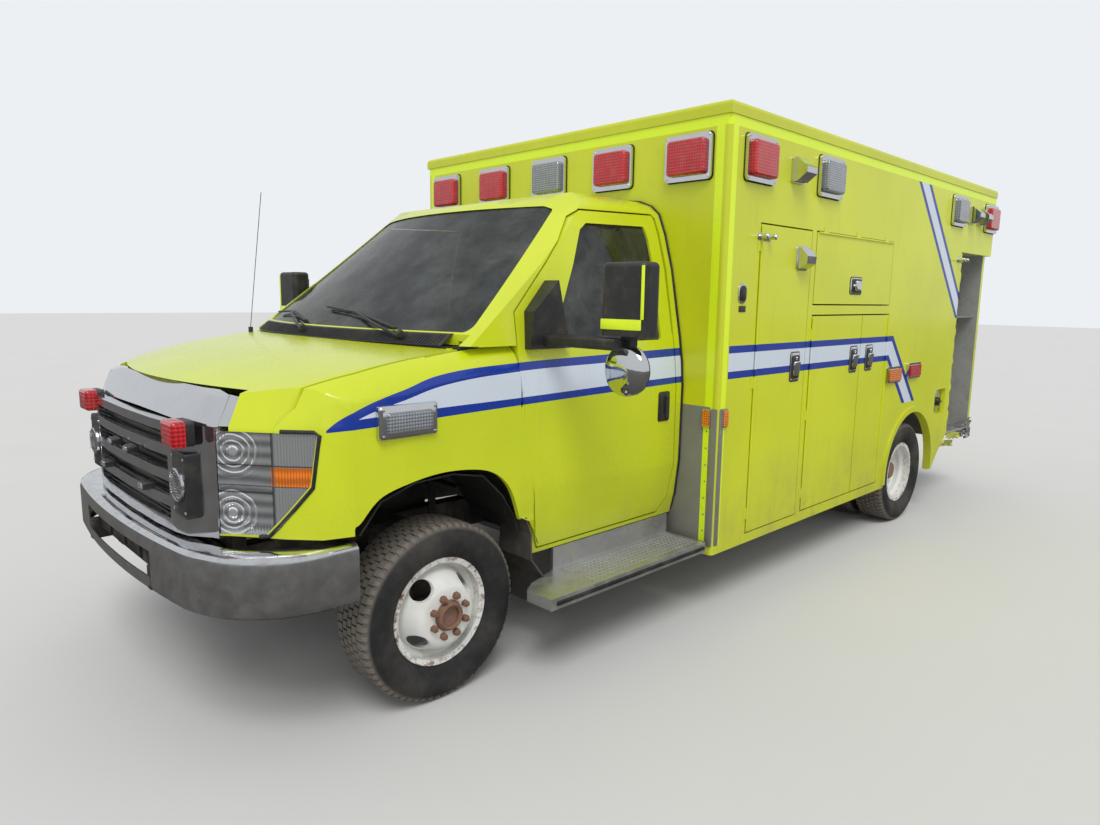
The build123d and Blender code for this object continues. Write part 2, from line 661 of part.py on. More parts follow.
def cab_hinge(index, reach):
    """One knuckle of the cab door's hinge, with a leaf that reaches to x."""
    low = CAB_HINGE_LOW + index * CAB_HINGE_STEP + SEAT
    high = low + CAB_HINGE_STEP - SEAT
    return post(HINGE_X, HINGE_Y, low, high, CAB_HINGE_RADIUS) + block(HINGE_X, reach, *CAB_HINGE_PLATE, low, high)


hinge_room = post(HINGE_X, HINGE_Y, CAB_HINGE_LOW - 2, CAB_HINGE_LOW + 5 * CAB_HINGE_STEP + 2, CAB_HINGE_RADIUS + SEAT)
door_left = door_left.solids().sort_by(SortBy.VOLUME)[-1] - hinge_room
for index in (0, 2, 4):
    door_left += cab_hinge(index, HINGE_X - 24)

# Hood hinge: a knuckle at each rear corner, let into the cowl
HOOD_PIN_X = -152
HOOD_PIN_Z = 1415
HOOD_PIN_Y = (870, 888)
HOOD_PIN_RADIUS = 3.5
pin_room = (HOOD_PIN_Y[0] - SEAT, HOOD_PIN_Y[1] + SEAT)
hood_hinge_room = rod(HOOD_PIN_X, HOOD_PIN_Z, *pin_room, HOOD_PIN_RADIUS + SEAT)
HOOD_TAB_LENGTH = 72
HOOD_TAB_DEPTH = 20
TAB_ROOM = 8
hood_hinge_room += block(HOOD_PIN_X, HOOD_PIN_X + HOOD_TAB_LENGTH + TAB_ROOM, *pin_room,
                         HOOD_PIN_Z - HOOD_TAB_DEPTH - TAB_ROOM, HOOD_PIN_Z + 25)

# Plan of the hood's seams, and how far its rear edge stays ahead of the cab's skin to swing clear of it
HOOD_OPEN_X = 0
HOOD_REAR_SWEEP = 150
HOOD_SETBACK = 50
HOOD_SEAM = [(-10, 915), (342, 895), (552, 862), (660, 795), (730, 706)]
CAP_HALF = 700
CAP_TOP_Z = 1287


def hood_zone(grow, setback=0):
    """Plan of the hood between its seams, its rear edge moved forward by setback."""
    seam = [(HOOD_OPEN_X - HOOD_REAR_SWEEP + setback - grow, HOOD_SEAM[0][1] + grow)]
    seam += [(x, y + grow) for x, y in HOOD_SEAM]
    mid = (HOOD_OPEN_X + setback - grow, 0)
    rear = ThreePointArc((seam[0][0], -seam[0][1]), mid, seam[0])
    rest = Polyline(*seam, (900, seam[-1][1]), (900, -seam[-1][1]), *[(x, -y) for x, y in reversed(seam)])
    return Pos(0, 0, 1150) * extrude(make_face([rear, rest]), amount=400)


# Windscreen aperture, seen from the front
screen_frame = [(-SCREEN_HALF_LOW + 30, 1475), (SCREEN_HALF_LOW - 30, 1475), (SCREEN_HALF_HIGH, 2022),
                (SCREEN_HALF_HIGH - 60, 2040), (-SCREEN_HALF_HIGH + 60, 2040), (-SCREEN_HALF_HIGH, 2022)]
screen_face = face_of(screen_frame, 25)
screen_prism = Pos(-1000, 0, 0) * extrude(Plane.YZ * screen_face, amount=1300)
screen_glass_prism = Pos(-1000, 0, 0) * extrude(Plane.YZ * offset(screen_face, amount=-SEAT), amount=1300)
# The aperture prism also meets the back of the roof, so it stops ahead of it
windscreen = (cab_form(6) - cab_form(6 + GLASS)) & screen_glass_prism
windscreen = windscreen.solids().sort_by(Axis.X)[-1]
shell = cab_skin - opening - other_side(opening) - (screen_prism & block(-1000, 300, -1000, 1000, 1400, 2060))
# The back of the cab is open to the module, and its floor and front belong to other pieces
shell -= hood_zone(DOOR_GAP)
for room in both(block(HOOD_PIN_X - 6, HOOD_PIN_X + 30, HOOD_PIN_Y[0] - 2, HOOD_PIN_Y[1] + 2, 1400, HOOD_PIN_Z + 25)):
    shell -= room
shell -= block(FIREWALL_X, 200, -1100, 1100, SILL_Z - 20, BELT_Z - 4)
FLOOR_HALF = 930
write("cab_shell", shell.solids().sort_by(SortBy.VOLUME)[-1])
write("cab_door_left", door_left.solids().sort_by(SortBy.VOLUME)[-1])
write("cab_door_right", other_side(door_left.solids().sort_by(SortBy.VOLUME)[-1]))
write("cab_glass_left", door_glass.solids().sort_by(SortBy.VOLUME)[-1])
write("cab_glass_right", other_side(door_glass.solids().sort_by(SortBy.VOLUME)[-1]))

# Cab floor, firewall and engine cover as one pressed tub
FLOOR_SIDE = 900
SILL_INNER = 925
tub = block(FIREWALL_X, CAB_REAR_X, -FLOOR_SIDE, FLOOR_SIDE, CAB_FLOOR_TOP - CAB_FLOOR_THICK, CAB_FLOOR_TOP)
tub += block(FIREWALL_X, FIREWALL_X - CAB_FLOOR_THICK, -FLOOR_SIDE, FLOOR_SIDE, CAB_FLOOR_TOP - CAB_FLOOR_THICK, 1380)
tub += side_block([(FIREWALL_X - 10, 1345), (FIREWALL_X - 10, 1365), (-200, 1365), (-200, 1345)], -FLOOR_SIDE, FLOOR_SIDE)
COVER_HALF = 290
cover = side_block([(FIREWALL_X - 5, CAB_FLOOR_TOP - 5), (FIREWALL_X - 5, 1015), (-820, 955), (-1080, CAB_FLOOR_TOP - 5)],
                   -COVER_HALF, COVER_HALF, 30)
cover_hollow = side_block([(FIREWALL_X - 40, 560), (FIREWALL_X - 40, 995), (-805, 938), (-1050, 700), (-1050, 560)],
                          -COVER_HALF + 18, COVER_HALF - 18)
tub = tub + cover - cover_hollow
tub -= block(FIREWALL_X - 60, FIREWALL_X + 5, -COVER_HALF + 18, COVER_HALF - 18, 560, 995)
ROCKER_INNER_Y = 885
for side in (1, -1):
    tub += block(-500, -1420, side * ROCKER_INNER_Y, side * 908, SILL_Z + 11, CAB_FLOOR_TOP)
    tub += block(-500, -1420, side * ROCKER_INNER_Y, side * (913 - SEAT), SILL_Z + 3, SILL_Z + 11)
write("cab_floor", tub)

# Front clip: hood and fenders share one lofted form
SECTION_LOW = 480
# x, half width, side top, shoulder middle y and z, shoulder top y and z, crown
CLIP_SECTIONS = [
    (-360, 1003, 1230, 988, 1352, 905, 1432, 1452),
    (340, 1003, 1120, 985, 1262, 885, 1350, 1388),
    (580, 1003, 1060, 970, 1200, 840, 1292, 1338),
    (860, 1003, 990, 960, 1095, 760, 1190, 1240),
]
# Plan of the nose: x, y
NOSE_PLAN = [(-360, 1003), (200, 1003), (400, 985), (507, 950), (596, 855), (693, 726), (752, 655), (790, 560), (806, 0)]
NOSE_LOW_Z = 480
NOSE_HIGH_Z = 1500
NOSE_RAKE = 110
NOSE_FLAT_Z = 1165


def clip_form(inset):
    """Hood and fenders in one solid, its skin moved inwards by inset."""
    faces = []
    for x, w, s, mid_y, mid_z, top_y, top_z, crown in CLIP_SECTIONS:
        w, s, mid_y, mid_z = w - inset, s - inset, mid_y - inset, mid_z - inset * 0.6
        top_y, top_z, crown = top_y - inset * 0.4, top_z - inset, crown - inset
        low = SECTION_LOW - inset
        edges = [
            Line((-w, low), (w, low)),
            Line((w, low), (w, s)),
            ThreePointArc((w, s), (mid_y, mid_z), (top_y, top_z)),
            ThreePointArc((top_y, top_z), (0, crown), (-top_y, top_z)),
            ThreePointArc((-top_y, top_z), (-mid_y, mid_z), (-w, s)),
            Line((-w, s), (-w, low)),
        ]
        faces.append(Pos(x, 0, 0) * (Plane.YZ * make_face(edges)))
    body = loft(faces)
    plans = []
    for z in (NOSE_LOW_Z - inset, NOSE_FLAT_Z, NOSE_HIGH_Z):
        rake = NOSE_RAKE * max(0, z - NOSE_FLAT_Z) / (NOSE_HIGH_Z - NOSE_FLAT_Z)
        half = [(x - (rake if x > 400 else 0), y - (0.3 * rake if x > 400 and y > 0 else 0)) for x, y in NOSE_PLAN]
        face = face_of(half + [(x, -y) for x, y in reversed(half[:-1])])
        if inset:
            face = offset(face, amount=-inset)
        plans.append(Pos(0, 0, z) * face)
    nose = loft(plans, ruled=True)
    return body & nose


clip_outer = clip_form(0)
clip_inner = clip_form(PANEL)
clip_skin = clip_outer - clip_inner
hood = clip_skin & hood_zone(0, HOOD_SETBACK)
hood -= block(600, 900, -CAP_HALF, CAP_HALF, 1100, CAP_TOP_Z)
hood -= Pos(12, 0, 0) * cab_outer
hood = hood.solids().sort_by(SortBy.VOLUME)[-1]
for hinge in both(rod(HOOD_PIN_X, HOOD_PIN_Z, *HOOD_PIN_Y, HOOD_PIN_RADIUS)
                  + block(HOOD_PIN_X, HOOD_PIN_X + HOOD_TAB_LENGTH, *HOOD_PIN_Y, HOOD_PIN_Z - HOOD_TAB_DEPTH, HOOD_PIN_Z)):
    hood += hinge
write("hood", hood)

# Headlamps: side outline, its lower outer corner cut away
LAMP_OUTLINE = [(840, 778), (640, 786), (532, 968), (512, 1150), (840, 1150)]
LAMP_INNER_Y = 660
LAMP_DEPTH = 90
lamp_prism = side_block(LAMP_OUTLINE, LAMP_INNER_Y, 1020)
lamp_face = offset(Plane.XZ * face_of(LAMP_OUTLINE), amount=-SEAT)
lamp_cut = Pos(0, 1020, 0) * extrude(lamp_face, amount=1020 - LAMP_INNER_Y)
headlamp = (clip_form(4) - clip_form(LAMP_DEPTH)) & lamp_cut
headlamp = headlamp.solids().sort_by(SortBy.VOLUME)[-1]
write("headlamps", both(headlamp))

# Fenders: arch, door line, bumper line
ARCH = [(404, 400), (404, 800), (294, 905), (130, 947), (-36, 953), (-200, 922), (-300, 840), (-356, 700),
        (-440, 500), (-470, 400)]
FENDER_FOOT_Z = 778
behind_door_line = [(-360, 1600)] + CAB_DOOR[:6] + [(-496, 400), (-700, 400), (-700, 1600)]
fender = clip_skin - hood_zone(DOOR_GAP)
fender -= side_block(ARCH, 500, 1100)
fender -= side_block(behind_door_line, 500, 1100)
fender -= lamp_prism
fender -= block(380, 900, 0, 1100, 300, FENDER_FOOT_Z)
fender -= block(-500, 380, 0, CLIP_SECTIONS[0][1] - PANEL, 300, 1200)
fender -= block(-600, 900, -1100, 640, 300, 1600)
fender -= block(600, 900, 0, LAMP_INNER_Y, 300, 1600)
fender -= block(-600, -160, 0, 1100, BELT_Z - 4, 1600)
fender -= block(-600, 60, 0, 925, 1340, 1600)
fender = fender.solids().sort_by(SortBy.VOLUME)[-1] - hinge_room
for index in (1, 3):
    fender += cab_hinge(index, HINGE_X + 24)
write("front_fenders", both(fender))

# Cowl below the windscreen
COWL_HALF = 920
cowl = block(-420, 80, -COWL_HALF, COWL_HALF, 1370, BELT_Z - 4 - SEAT) - hood_zone(DOOR_GAP, HOOD_SETBACK)
cowl = cowl.solids().sort_by(SortBy.VOLUME)[-1]
for room in both(hood_hinge_room):
    cowl -= room
write("cowl_panel", cowl)

# Grille: chrome surround, bars and cap, with a dark backing
GRILLE_FACE = [(852, 0), (846, 300), (832, 480), (815, 551), (758, 629), (748, 655)]
GRILLE_LOW_Z = 765
GRILLE_HIGH_Z = 1163
GRILLE_OPEN_HALF = 440
GRILLE_OPEN_LOW = 808
GRILLE_OPEN_HIGH = 1128
GRILLE_DEPTH = 46
BAR_Z = (872, 966, 1060)
BAR_HEIGHT = 40


def grille_band(front_shift, depth, z0, z1, half):
    """Curved band behind the grille's face line."""
    line = [(x + front_shift, y) for x, y in GRILLE_FACE if y <= half]
    outline = line + [(x - depth, min(y, half)) for x, y in reversed(line)]
    left = plan_block(outline, z0, z1)
    return left + other_side(left)


surround = grille_band(0, GRILLE_DEPTH, GRILLE_LOW_Z, GRILLE_HIGH_Z, 655)
surround -= block(600, 900, -GRILLE_OPEN_HALF, GRILLE_OPEN_HALF, GRILLE_OPEN_LOW, GRILLE_OPEN_HIGH)
for bar_z in BAR_Z:
    surround += grille_band(0, GRILLE_DEPTH - 14, bar_z - BAR_HEIGHT / 2, bar_z + BAR_HEIGHT / 2, 480) \
        & block(600, 900, -GRILLE_OPEN_HALF - 2, GRILLE_OPEN_HALF + 2, 700, 1200)
cap = side_block([(790, GRILLE_HIGH_Z), (806, GRILLE_HIGH_Z + 12), (722, CAP_TOP_Z - 6), (690, CAP_TOP_Z - 6), (740, GRILLE_HIGH_Z)],
                 -CAP_HALF + DOOR_GAP, CAP_HALF - DOOR_GAP) & clip_outer
surround += cap
write("grille", surround.solids().sort_by(SortBy.VOLUME)[-1])
backing = grille_band(-GRILLE_DEPTH, 12, GRILLE_OPEN_LOW - 20, GRILLE_OPEN_HIGH + 20, 480)

# Radiator and its support, which carry the grille, lamps and fenders
support = block(640, 690, -620, 620, RAIL_TOP_FRONT, 1130)
support -= block(630, 700, -560, 560, 690, 1080)
support += block(645, 685, -560, 560, 700, 1070)
STAY_LOW_Z = 1122
STAY_HIGH_Z = 1146
for side in (1, -1):
    stay = block(440, 505, side * 560, side * 1010, STAY_LOW_Z, STAY_HIGH_Z) & clip_form(PANEL + SEAT)
    stay += block(500, 690, side * 560, side * 1010, STAY_LOW_Z, STAY_HIGH_Z) & clip_form(LAMP_DEPTH + SEAT)
    support += stay
support += block(680, 800 - SEAT, -250, 250, STAY_LOW_Z, STAY_HIGH_Z)
write("radiator", support, backing)

# Front bumper: pressed channel with its plate recess
BUMPER_PLAN = [(BUMPER_FRONT_X, 0), (BUMPER_FRONT_X - 2, 330), (885, 650), (825, 800), (755, 905), (640, 972),
               (500, 1000), (398, 1000)]
BUMPER_LOW_Z = 537
BUMPER_HIGH_Z = 755
BUMPER_WALL = 6
PLATE_HALF = 415
PLATE_LOW_Z = 595
PLATE_HIGH_Z = 695
outer_half = BUMPER_PLAN + [(398, 900), (560, 870), (700, 760), (780, 600), (RAIL_FRONT_X + SEAT, 440), (RAIL_FRONT_X + SEAT, 0)]
left_bumper = plan_block(outer_half, BUMPER_LOW_Z, BUMPER_HIGH_Z)
bumper = left_bumper + other_side(left_bumper)
bumper = fillet(bumper.edges().filter_by(lambda e: e.center().X > 850 and abs(e.center().Z - BUMPER_LOW_Z) < 1), 12)
hollow_half = [(x - BUMPER_WALL if x > 700 else x, y - (0 if x > 885 else BUMPER_WALL)) for x, y in BUMPER_PLAN[:-1]]
hollow_half += [(398 + BUMPER_WALL, 994), (398 + BUMPER_WALL, 0), (600, 0)]
left_hollow = plan_block(hollow_half, BUMPER_LOW_Z + BUMPER_WALL, BUMPER_HIGH_Z - BUMPER_WALL)
bumper -= left_hollow
bumper -= other_side(left_hollow)
bumper -= block(800 + 60, 960, -PLATE_HALF, PLATE_HALF, PLATE_LOW_Z, PLATE_HIGH_Z)
for side in (1, -1):
    bumper += block(RAIL_FRONT_X + SEAT, BUMPER_FRONT_X - 4, side * (RAIL_INNER_Y + 20), side * (RAIL_OUTER_Y - 20),
                    BUMPER_LOW_Z + 3, RAIL_TOP_FRONT - 20)
write("front_bumper", bumper.solids().sort_by(SortBy.VOLUME)[-1])

# Module walls. Leaves on the left side: x of the front and rear edges, low and high z, hinged edge
LEFT_LEAVES = {
    "tall_door": (-1799, -2334, 380, 2001, "front"),
    "flip_door": (-2398, -3457, 1602, 2002, "top"),
    "lower_door_front": (-2402, -3059, 388, 1533, "front"),
    "lower_door_rear": (-3069, -3470, 388, 1533, "rear"),
}
# Leaves on the right side
RIGHT_LEAVES = {
    "side_door": (-2050, -2790, 385, 2080, "front"),
    "curb_rear_door": (-4790, -5390, 548, 2010, "front"),
}
# Compartments behind them: front and rear x, low and high z, side
COMPARTMENTS = [
    (-1799, -2334, 380, 2001, 1),
    (-2398, -3457, 1602, 2002, 1),
    (-2402, -3470, 388, 1533, 1),
    (-4790, -5390, 548, 2010, -1),
]
CRUSHED = (-4780, MODULE_REAR_X, 548, 2010)
ARCH_X = REAR_AXLE_X - 27
ARCH_Z = 393
ARCH_RADIUS = 430
ARCH_TRIM = 40
ARCH_PROUD = 12
ARCH_TRIM_DROP = 50
REAR_SKIRT_Z = 450
HINGE_OUT = 4
HINGE_IN = 2


KNUCKLE = 60
KNUCKLE_PLATE = 3
KNUCKLE_REACH = 34


def piano_hinge(length):
    """Leaf barrel, room in the leaf, and wall knuckles: axis on Z, leaf towards -X, outside towards +Y."""
    barrel = post(0, 0, 0, length, HINGE_RADIUS)
    room = []
    knuckles = []
    for start in (60, length / 2 - KNUCKLE / 2, length - 60 - KNUCKLE):
        end = start + KNUCKLE
        gap = post(0, 0, start - SEAT, end + SEAT, HINGE_RADIUS + SEAT)
        barrel -= gap
        room.append(gap)
        knuckle_piece = post(0, 0, start, end, HINGE_RADIUS)
        knuckle_piece += block(0, KNUCKLE_REACH, -HINGE_OUT, KNUCKLE_PLATE - HINGE_OUT, start, end)
        knuckles.append(knuckle_piece)
    return barrel, room, knuckles


def hinge_place(x_front, x_rear, z_low, z_high, edge):
    """Length and place of a left leaf's hinge."""
    axis_y = MODULE_HALF + HINGE_OUT
    if edge == "top":
        return x_front - x_rear - 30, Pos(x_front - 15, axis_y, z_high - HINGE_IN) * Rot(0, -90, 0)
    axis_x = x_front - HINGE_IN if edge == "front" else x_rear + HINGE_IN
    return z_high - z_low - 30, Pos(axis_x, axis_y, z_low + 15)


def side_hinge(x_front, x_rear, z_low, z_high, edge, side):
    """The same three pieces of a side leaf's hinge, at their places."""
    length, place = hinge_place(x_front, x_rear, z_low, z_high, edge)
    pieces = []
    for group in piano_hinge(length):
        items = group if isinstance(group, list) else group.solids()
        if edge == "rear":
            items = [mirror(item, about=Plane.YZ) for item in items]
        items = [place * item for item in items]
        pieces.append(items if side == 1 else [other_side(item) for item in items])
    return pieces


def leaf_opening(x_front, x_rear, z_low, z_high, side, depth=WALL + 10):
    """Cut in a side wall around one leaf."""
    y_in = side * (MODULE_HALF - depth)
    return block(x_front + DOOR_GAP, x_rear - DOOR_GAP, y_in, side * (MODULE_HALF + 20), z_low - DOOR_GAP, z_high + DOOR_GAP)


def side_leaf(x_front, x_rear, z_low, z_high, edge, side):
    """Flush leaf, as thick as the wall, with a piano hinge barrel along one edge."""
    leaf = block(x_front, x_rear, side * INNER_HALF, side * (MODULE_HALF + DOOR_STEP), z_low, z_high)
    barrels, room, knuckles = side_hinge(x_front, x_rear, z_low, z_high, edge, side)
    for item in room:
        leaf -= item
    for item in barrels:
        leaf += item
    return leaf


def side_wall(side, leaves):
    """Left wall for side 1, right wall for side -1."""
    outline = [(MODULE_FRONT_X, MODULE_BOTTOM), (MODULE_FRONT_X, RAIL_EDGE_Z), (MODULE_REAR_X, RAIL_EDGE_Z),
               (MODULE_REAR_X, REAR_SKIRT_Z), (-4760, REAR_SKIRT_Z), (-4760, MODULE_BOTTOM)]
    low_y, high_y = sorted((side * INNER_HALF, side * MODULE_HALF))
    wall = side_block(outline, low_y, high_y)
    corner = wall.edges().filter_by(Axis.Z).filter_by(
        lambda e: abs(e.center().X - MODULE_FRONT_X) < 1 and abs(abs(e.center().Y) - MODULE_HALF) < 1)
    wall = fillet(corner, CORNER_RADIUS)
    for x_front, x_rear, z_low, z_high, edge in leaves.values():
        wall -= leaf_opening(x_front, x_rear, z_low, z_high, side)
    for values in leaves.values():
        for item in side_hinge(*values, side)[2]:
            wall += item
    wall -= rod(ARCH_X, ARCH_Z, low_y - 5, high_y + 5, ARCH_RADIUS)
    trim_face = Circle(ARCH_RADIUS + ARCH_TRIM) - Circle(ARCH_RADIUS)
    trim_end = side * (MODULE_HALF + ARCH_PROUD)
    trim = Pos(ARCH_X, max(trim_end, side * INNER_HALF), ARCH_Z) * extrude(Plane.XZ * trim_face, amount=WALL + ARCH_PROUD)
    reach = ARCH_RADIUS + ARCH_TRIM + 5
    trim -= block(ARCH_X - reach, ARCH_X + reach, low_y - 50, high_y + 50, ARCH_Z - reach, ARCH_Z - ARCH_TRIM_DROP)
    wall += trim
    wall -= block(ARCH_X - ARCH_RADIUS, ARCH_X + ARCH_RADIUS, low_y - 50, high_y + 50, MODULE_BOTTOM - 5, ARCH_Z)
    return wall


left_wall = side_wall(1, LEFT_LEAVES)
# The knock took the corner post and bent the skirt behind the wheel
left_wall -= block(CRUSHED[0], CRUSHED[1] - 5, INNER_HALF - 5, MODULE_HALF + 5, MODULE_BOTTOM - 5, CRUSHED[3])
left_wall -= side_block([(-4518, MODULE_BOTTOM - 5), (-4684, 490), (CRUSHED[0] - 5, 552), (CRUSHED[0] - 5, MODULE_BOTTOM - 5)],
                        INNER_HALF - 5, MODULE_HALF + 5)
FUEL_DOOR = (-4480, -4700, 750, 950)
left_wall -= block(FUEL_DOOR[0], FUEL_DOOR[1], INNER_HALF + 12, MODULE_HALF + 5, FUEL_DOOR[2], FUEL_DOOR[3])
write("left_wall", left_wall)
right_wall = side_wall(-1, RIGHT_LEAVES)
SIDE_WINDOW = (-2960, -3640, 1450, 1900)
right_wall -= side_block(rect(*SIDE_WINDOW[:2], *SIDE_WINDOW[2:]), -MODULE_HALF - 5, -INNER_HALF + 5, 40)
write("right_wall", right_wall)
window_face = offset(Plane.XZ * face_of(rect(*SIDE_WINDOW[:2], *SIDE_WINDOW[2:]), 40), amount=-SEAT)
side_window = Pos(0, -MODULE_HALF + 14, 0) * extrude(window_face, amount=8)
write("fixed_glass", windscreen, side_window)

for name, (x_front, x_rear, z_low, z_high, edge) in LEFT_LEAVES.items():
    write(name, side_leaf(x_front, x_rear, z_low, z_high, edge, 1))
SIDE_DOOR_WINDOW = (-2200, -2640, 1380, 1880)
side_door = side_leaf(*RIGHT_LEAVES["side_door"], -1)
side_door -= side_block(rect(*SIDE_DOOR_WINDOW[:2], *SIDE_DOOR_WINDOW[2:]), -MODULE_HALF - 5, -INNER_HALF + 5, 40)
door_face = offset(Plane.XZ * face_of(rect(*SIDE_DOOR_WINDOW[:2], *SIDE_DOOR_WINDOW[2:]), 40), amount=-SEAT)
write("side_door", side_door, Pos(0, -MODULE_HALF + 14, 0) * extrude(door_face, amount=8))
write("curb_rear_door", side_leaf(*RIGHT_LEAVES["curb_rear_door"], -1))

# Compartments, open to the outside, and the step well inside the side door
liners = []
liner_blocks = []
inner_y = INNER_HALF - COMPARTMENT_DEPTH
for x_front, x_rear, z_low, z_high, side in COMPARTMENTS:
    x0, x1 = x_front + DOOR_GAP, x_rear - DOOR_GAP
    z0, z1 = z_low - DOOR_GAP, z_high + DOOR_GAP
    outer = block(x0 + LINER, x1 - LINER, side * (inner_y - LINER), side * INNER_HALF, z0 - LINER, z1 + LINER)
    liner_blocks.append(outer)
    liners.append(outer - block(x0, x1, side * inner_y, side * (INNER_HALF + 5), z0, z1))

SHELF_Z = 1500
REAR_LINER_X = MODULE_REAR_X + WALL
crushed_block = block(CRUSHED[0] + LINER, REAR_LINER_X, inner_y - LINER, INNER_HALF, CRUSHED[2] - LINER, CRUSHED[3] + LINER)
liner_blocks.append(crushed_block)
crushed = crushed_block - block(CRUSHED[0], REAR_LINER_X + LINER, inner_y, INNER_HALF + 5, CRUSHED[2], CRUSHED[3])
crushed += block(CRUSHED[0], REAR_LINER_X + LINER, inner_y, INNER_HALF - 30, SHELF_Z, SHELF_Z + LINER)
write("damaged_compartment", crushed)

side_leaf_x = RIGHT_LEAVES["side_door"]
well_x0, well_x1 = side_leaf_x[0] + DOOR_GAP, side_leaf_x[1] - DOOR_GAP
WELL_IN = 420
well_z = side_leaf_x[2] - DOOR_GAP
well_block = block(well_x0 + LINER, well_x1 - LINER, -INNER_HALF, -INNER_HALF + WELL_IN, well_z - LINER, FLOOR_TOP)
well = well_block - block(well_x0, well_x1, -INNER_HALF - 5, -INNER_HALF + WELL_IN - LINER, well_z, FLOOR_TOP + 5)
well += block(well_x0, well_x1, -INNER_HALF + 230, -INNER_HALF + WELL_IN - LINER, well_z, 610)

# Floor, wheel boxes, front and rear walls, roof
floor = block(MODULE_FRONT_X - WALL, MODULE_REAR_X + WALL, -INNER_HALF, INNER_HALF, FLOOR_UNDER, FLOOR_TOP)
for cut in liner_blocks + [well_block]:
    floor -= cut
WHEEL_BOX = (ARCH_X + ARCH_RADIUS + 5, ARCH_X - ARCH_RADIUS - 5, 685)
WHEEL_BOX_TOP = 885
wheel_boxes = []
for side in (1, -1):
    box_outer = block(WHEEL_BOX[0], WHEEL_BOX[1], side * WHEEL_BOX[2], side * INNER_HALF, FLOOR_UNDER - 60, WHEEL_BOX_TOP)
    box_inner = block(WHEEL_BOX[0] - LINER, WHEEL_BOX[1] + LINER, side * (WHEEL_BOX[2] + LINER), side * (INNER_HALF + 5),
                      FLOOR_UNDER - 70, WHEEL_BOX_TOP - LINER)
    wheel_boxes.append(box_outer - box_inner)
    floor -= box_outer
# Wear plate that the cot rolls on
COT_PLATE_HALF = 280
COT_PLATE_THICK = 4
floor += block(-5300, -2900, -COT_PLATE_HALF, COT_PLATE_HALF, FLOOR_TOP, FLOOR_TOP + COT_PLATE_THICK)
write("module_floor", floor)
write("compartments", liners, well, wheel_boxes)

LEG_Y = 700
PASS_HALF = 330
PASS_LOW = 1150
PASS_HIGH = 1820
front_outline = [(-INNER_HALF, MODULE_BOTTOM), (-LEG_Y, MODULE_BOTTOM), (-LEG_Y, FLOOR_UNDER), (LEG_Y, FLOOR_UNDER),
                 (LEG_Y, MODULE_BOTTOM), (INNER_HALF, MODULE_BOTTOM), (INNER_HALF, RAIL_EDGE_Z), (-INNER_HALF, RAIL_EDGE_Z)]
front_wall = cross_block(front_outline, MODULE_FRONT_X - WALL, MODULE_FRONT_X)
front_wall -= cross_block(rect(-PASS_HALF, PASS_HALF, PASS_LOW, PASS_HIGH), MODULE_FRONT_X - WALL - 5, MODULE_FRONT_X + 5, 60)
write("front_wall", front_wall)

REAR_LEAF = (4.5, 650, 850, 2130)
REAR_WALL_LOW = 560
rear_wall = block(MODULE_REAR_X, MODULE_REAR_X + WALL, -INNER_HALF, INNER_HALF, REAR_WALL_LOW, RAIL_EDGE_Z)
rear_wall -= block(MODULE_REAR_X - 5, MODULE_REAR_X + WALL + 5, -REAR_LEAF[1] - DOOR_GAP, REAR_LEAF[1] + DOOR_GAP,
                   REAR_LEAF[2] - DOOR_GAP, REAR_LEAF[3] + DOOR_GAP)
rear_hinge = [MODULE_REAR_X - HINGE_OUT, REAR_LEAF[1] - HINGE_IN, REAR_LEAF[2] + 15]
rear_hinge_place = Pos(*rear_hinge) * Rot(0, 0, 90)
rear_barrel, rear_room, rear_knuckles = piano_hinge(REAR_LEAF[3] - REAR_LEAF[2] - 30)
for item in rear_knuckles:
    for piece in both(rear_hinge_place * item):
        rear_wall += piece
write("rear_wall", rear_wall)
REAR_WINDOW = (140, 520, 1480, 1920)
rear_leaf = block(MODULE_REAR_X - DOOR_STEP, MODULE_REAR_X + WALL, *REAR_LEAF)
for item in rear_room:
    rear_leaf -= rear_hinge_place * item
for item in rear_barrel.solids():
    rear_leaf += rear_hinge_place * item
rear_leaf -= cross_block(rect(*REAR_WINDOW), MODULE_REAR_X - 5, MODULE_REAR_X + WALL + 5, 40)
rear_face = offset(Plane.YZ * face_of(rect(*REAR_WINDOW), 40), amount=-SEAT)
rear_glass = Pos(MODULE_REAR_X + 14, 0, 0) * extrude(rear_face, amount=8)
write("rear_door_left", rear_leaf, rear_glass)
write("rear_door_right", other_side(rear_leaf), other_side(rear_glass))

roof = block(MODULE_FRONT_X + ROOF_LIP, MODULE_REAR_X - ROOF_LIP, -MODULE_HALF - ROOF_LIP, MODULE_HALF + ROOF_LIP,
             RAIL_EDGE_Z, MODULE_TOP)
roof = fillet(roof.faces().sort_by(Axis.Z)[-1].edges(), 24)
write("module_roof", roof)

# Lamps on the module. Flange face 275 by 222, with a raised lens
LAMP_WIDE = 275
LAMP_HIGH = 222
BEZEL_PROUD = 22
LENS_PROUD = 50
LENS_MARGIN = 26
LAMP_Z = 2305
FRONT_LAMPS = {-989: "red", -494: "red", 0: "clear", 494: "red", 989: "red"}
SIDE_LAMPS = {-1742: "red", -2494: "clear", -4613: "clear", -5373: "red"}
REAR_LAMPS = {-989: "red", -380: "clear", 380: "clear", 989: "red"}


def rounded_plate(wide, high, thick, radius):
    """Rounded plate in the YZ plane, its back on X = 0, growing to +X."""
    return extrude(Plane.YZ * RectangleRounded(wide, high, radius), amount=thick)


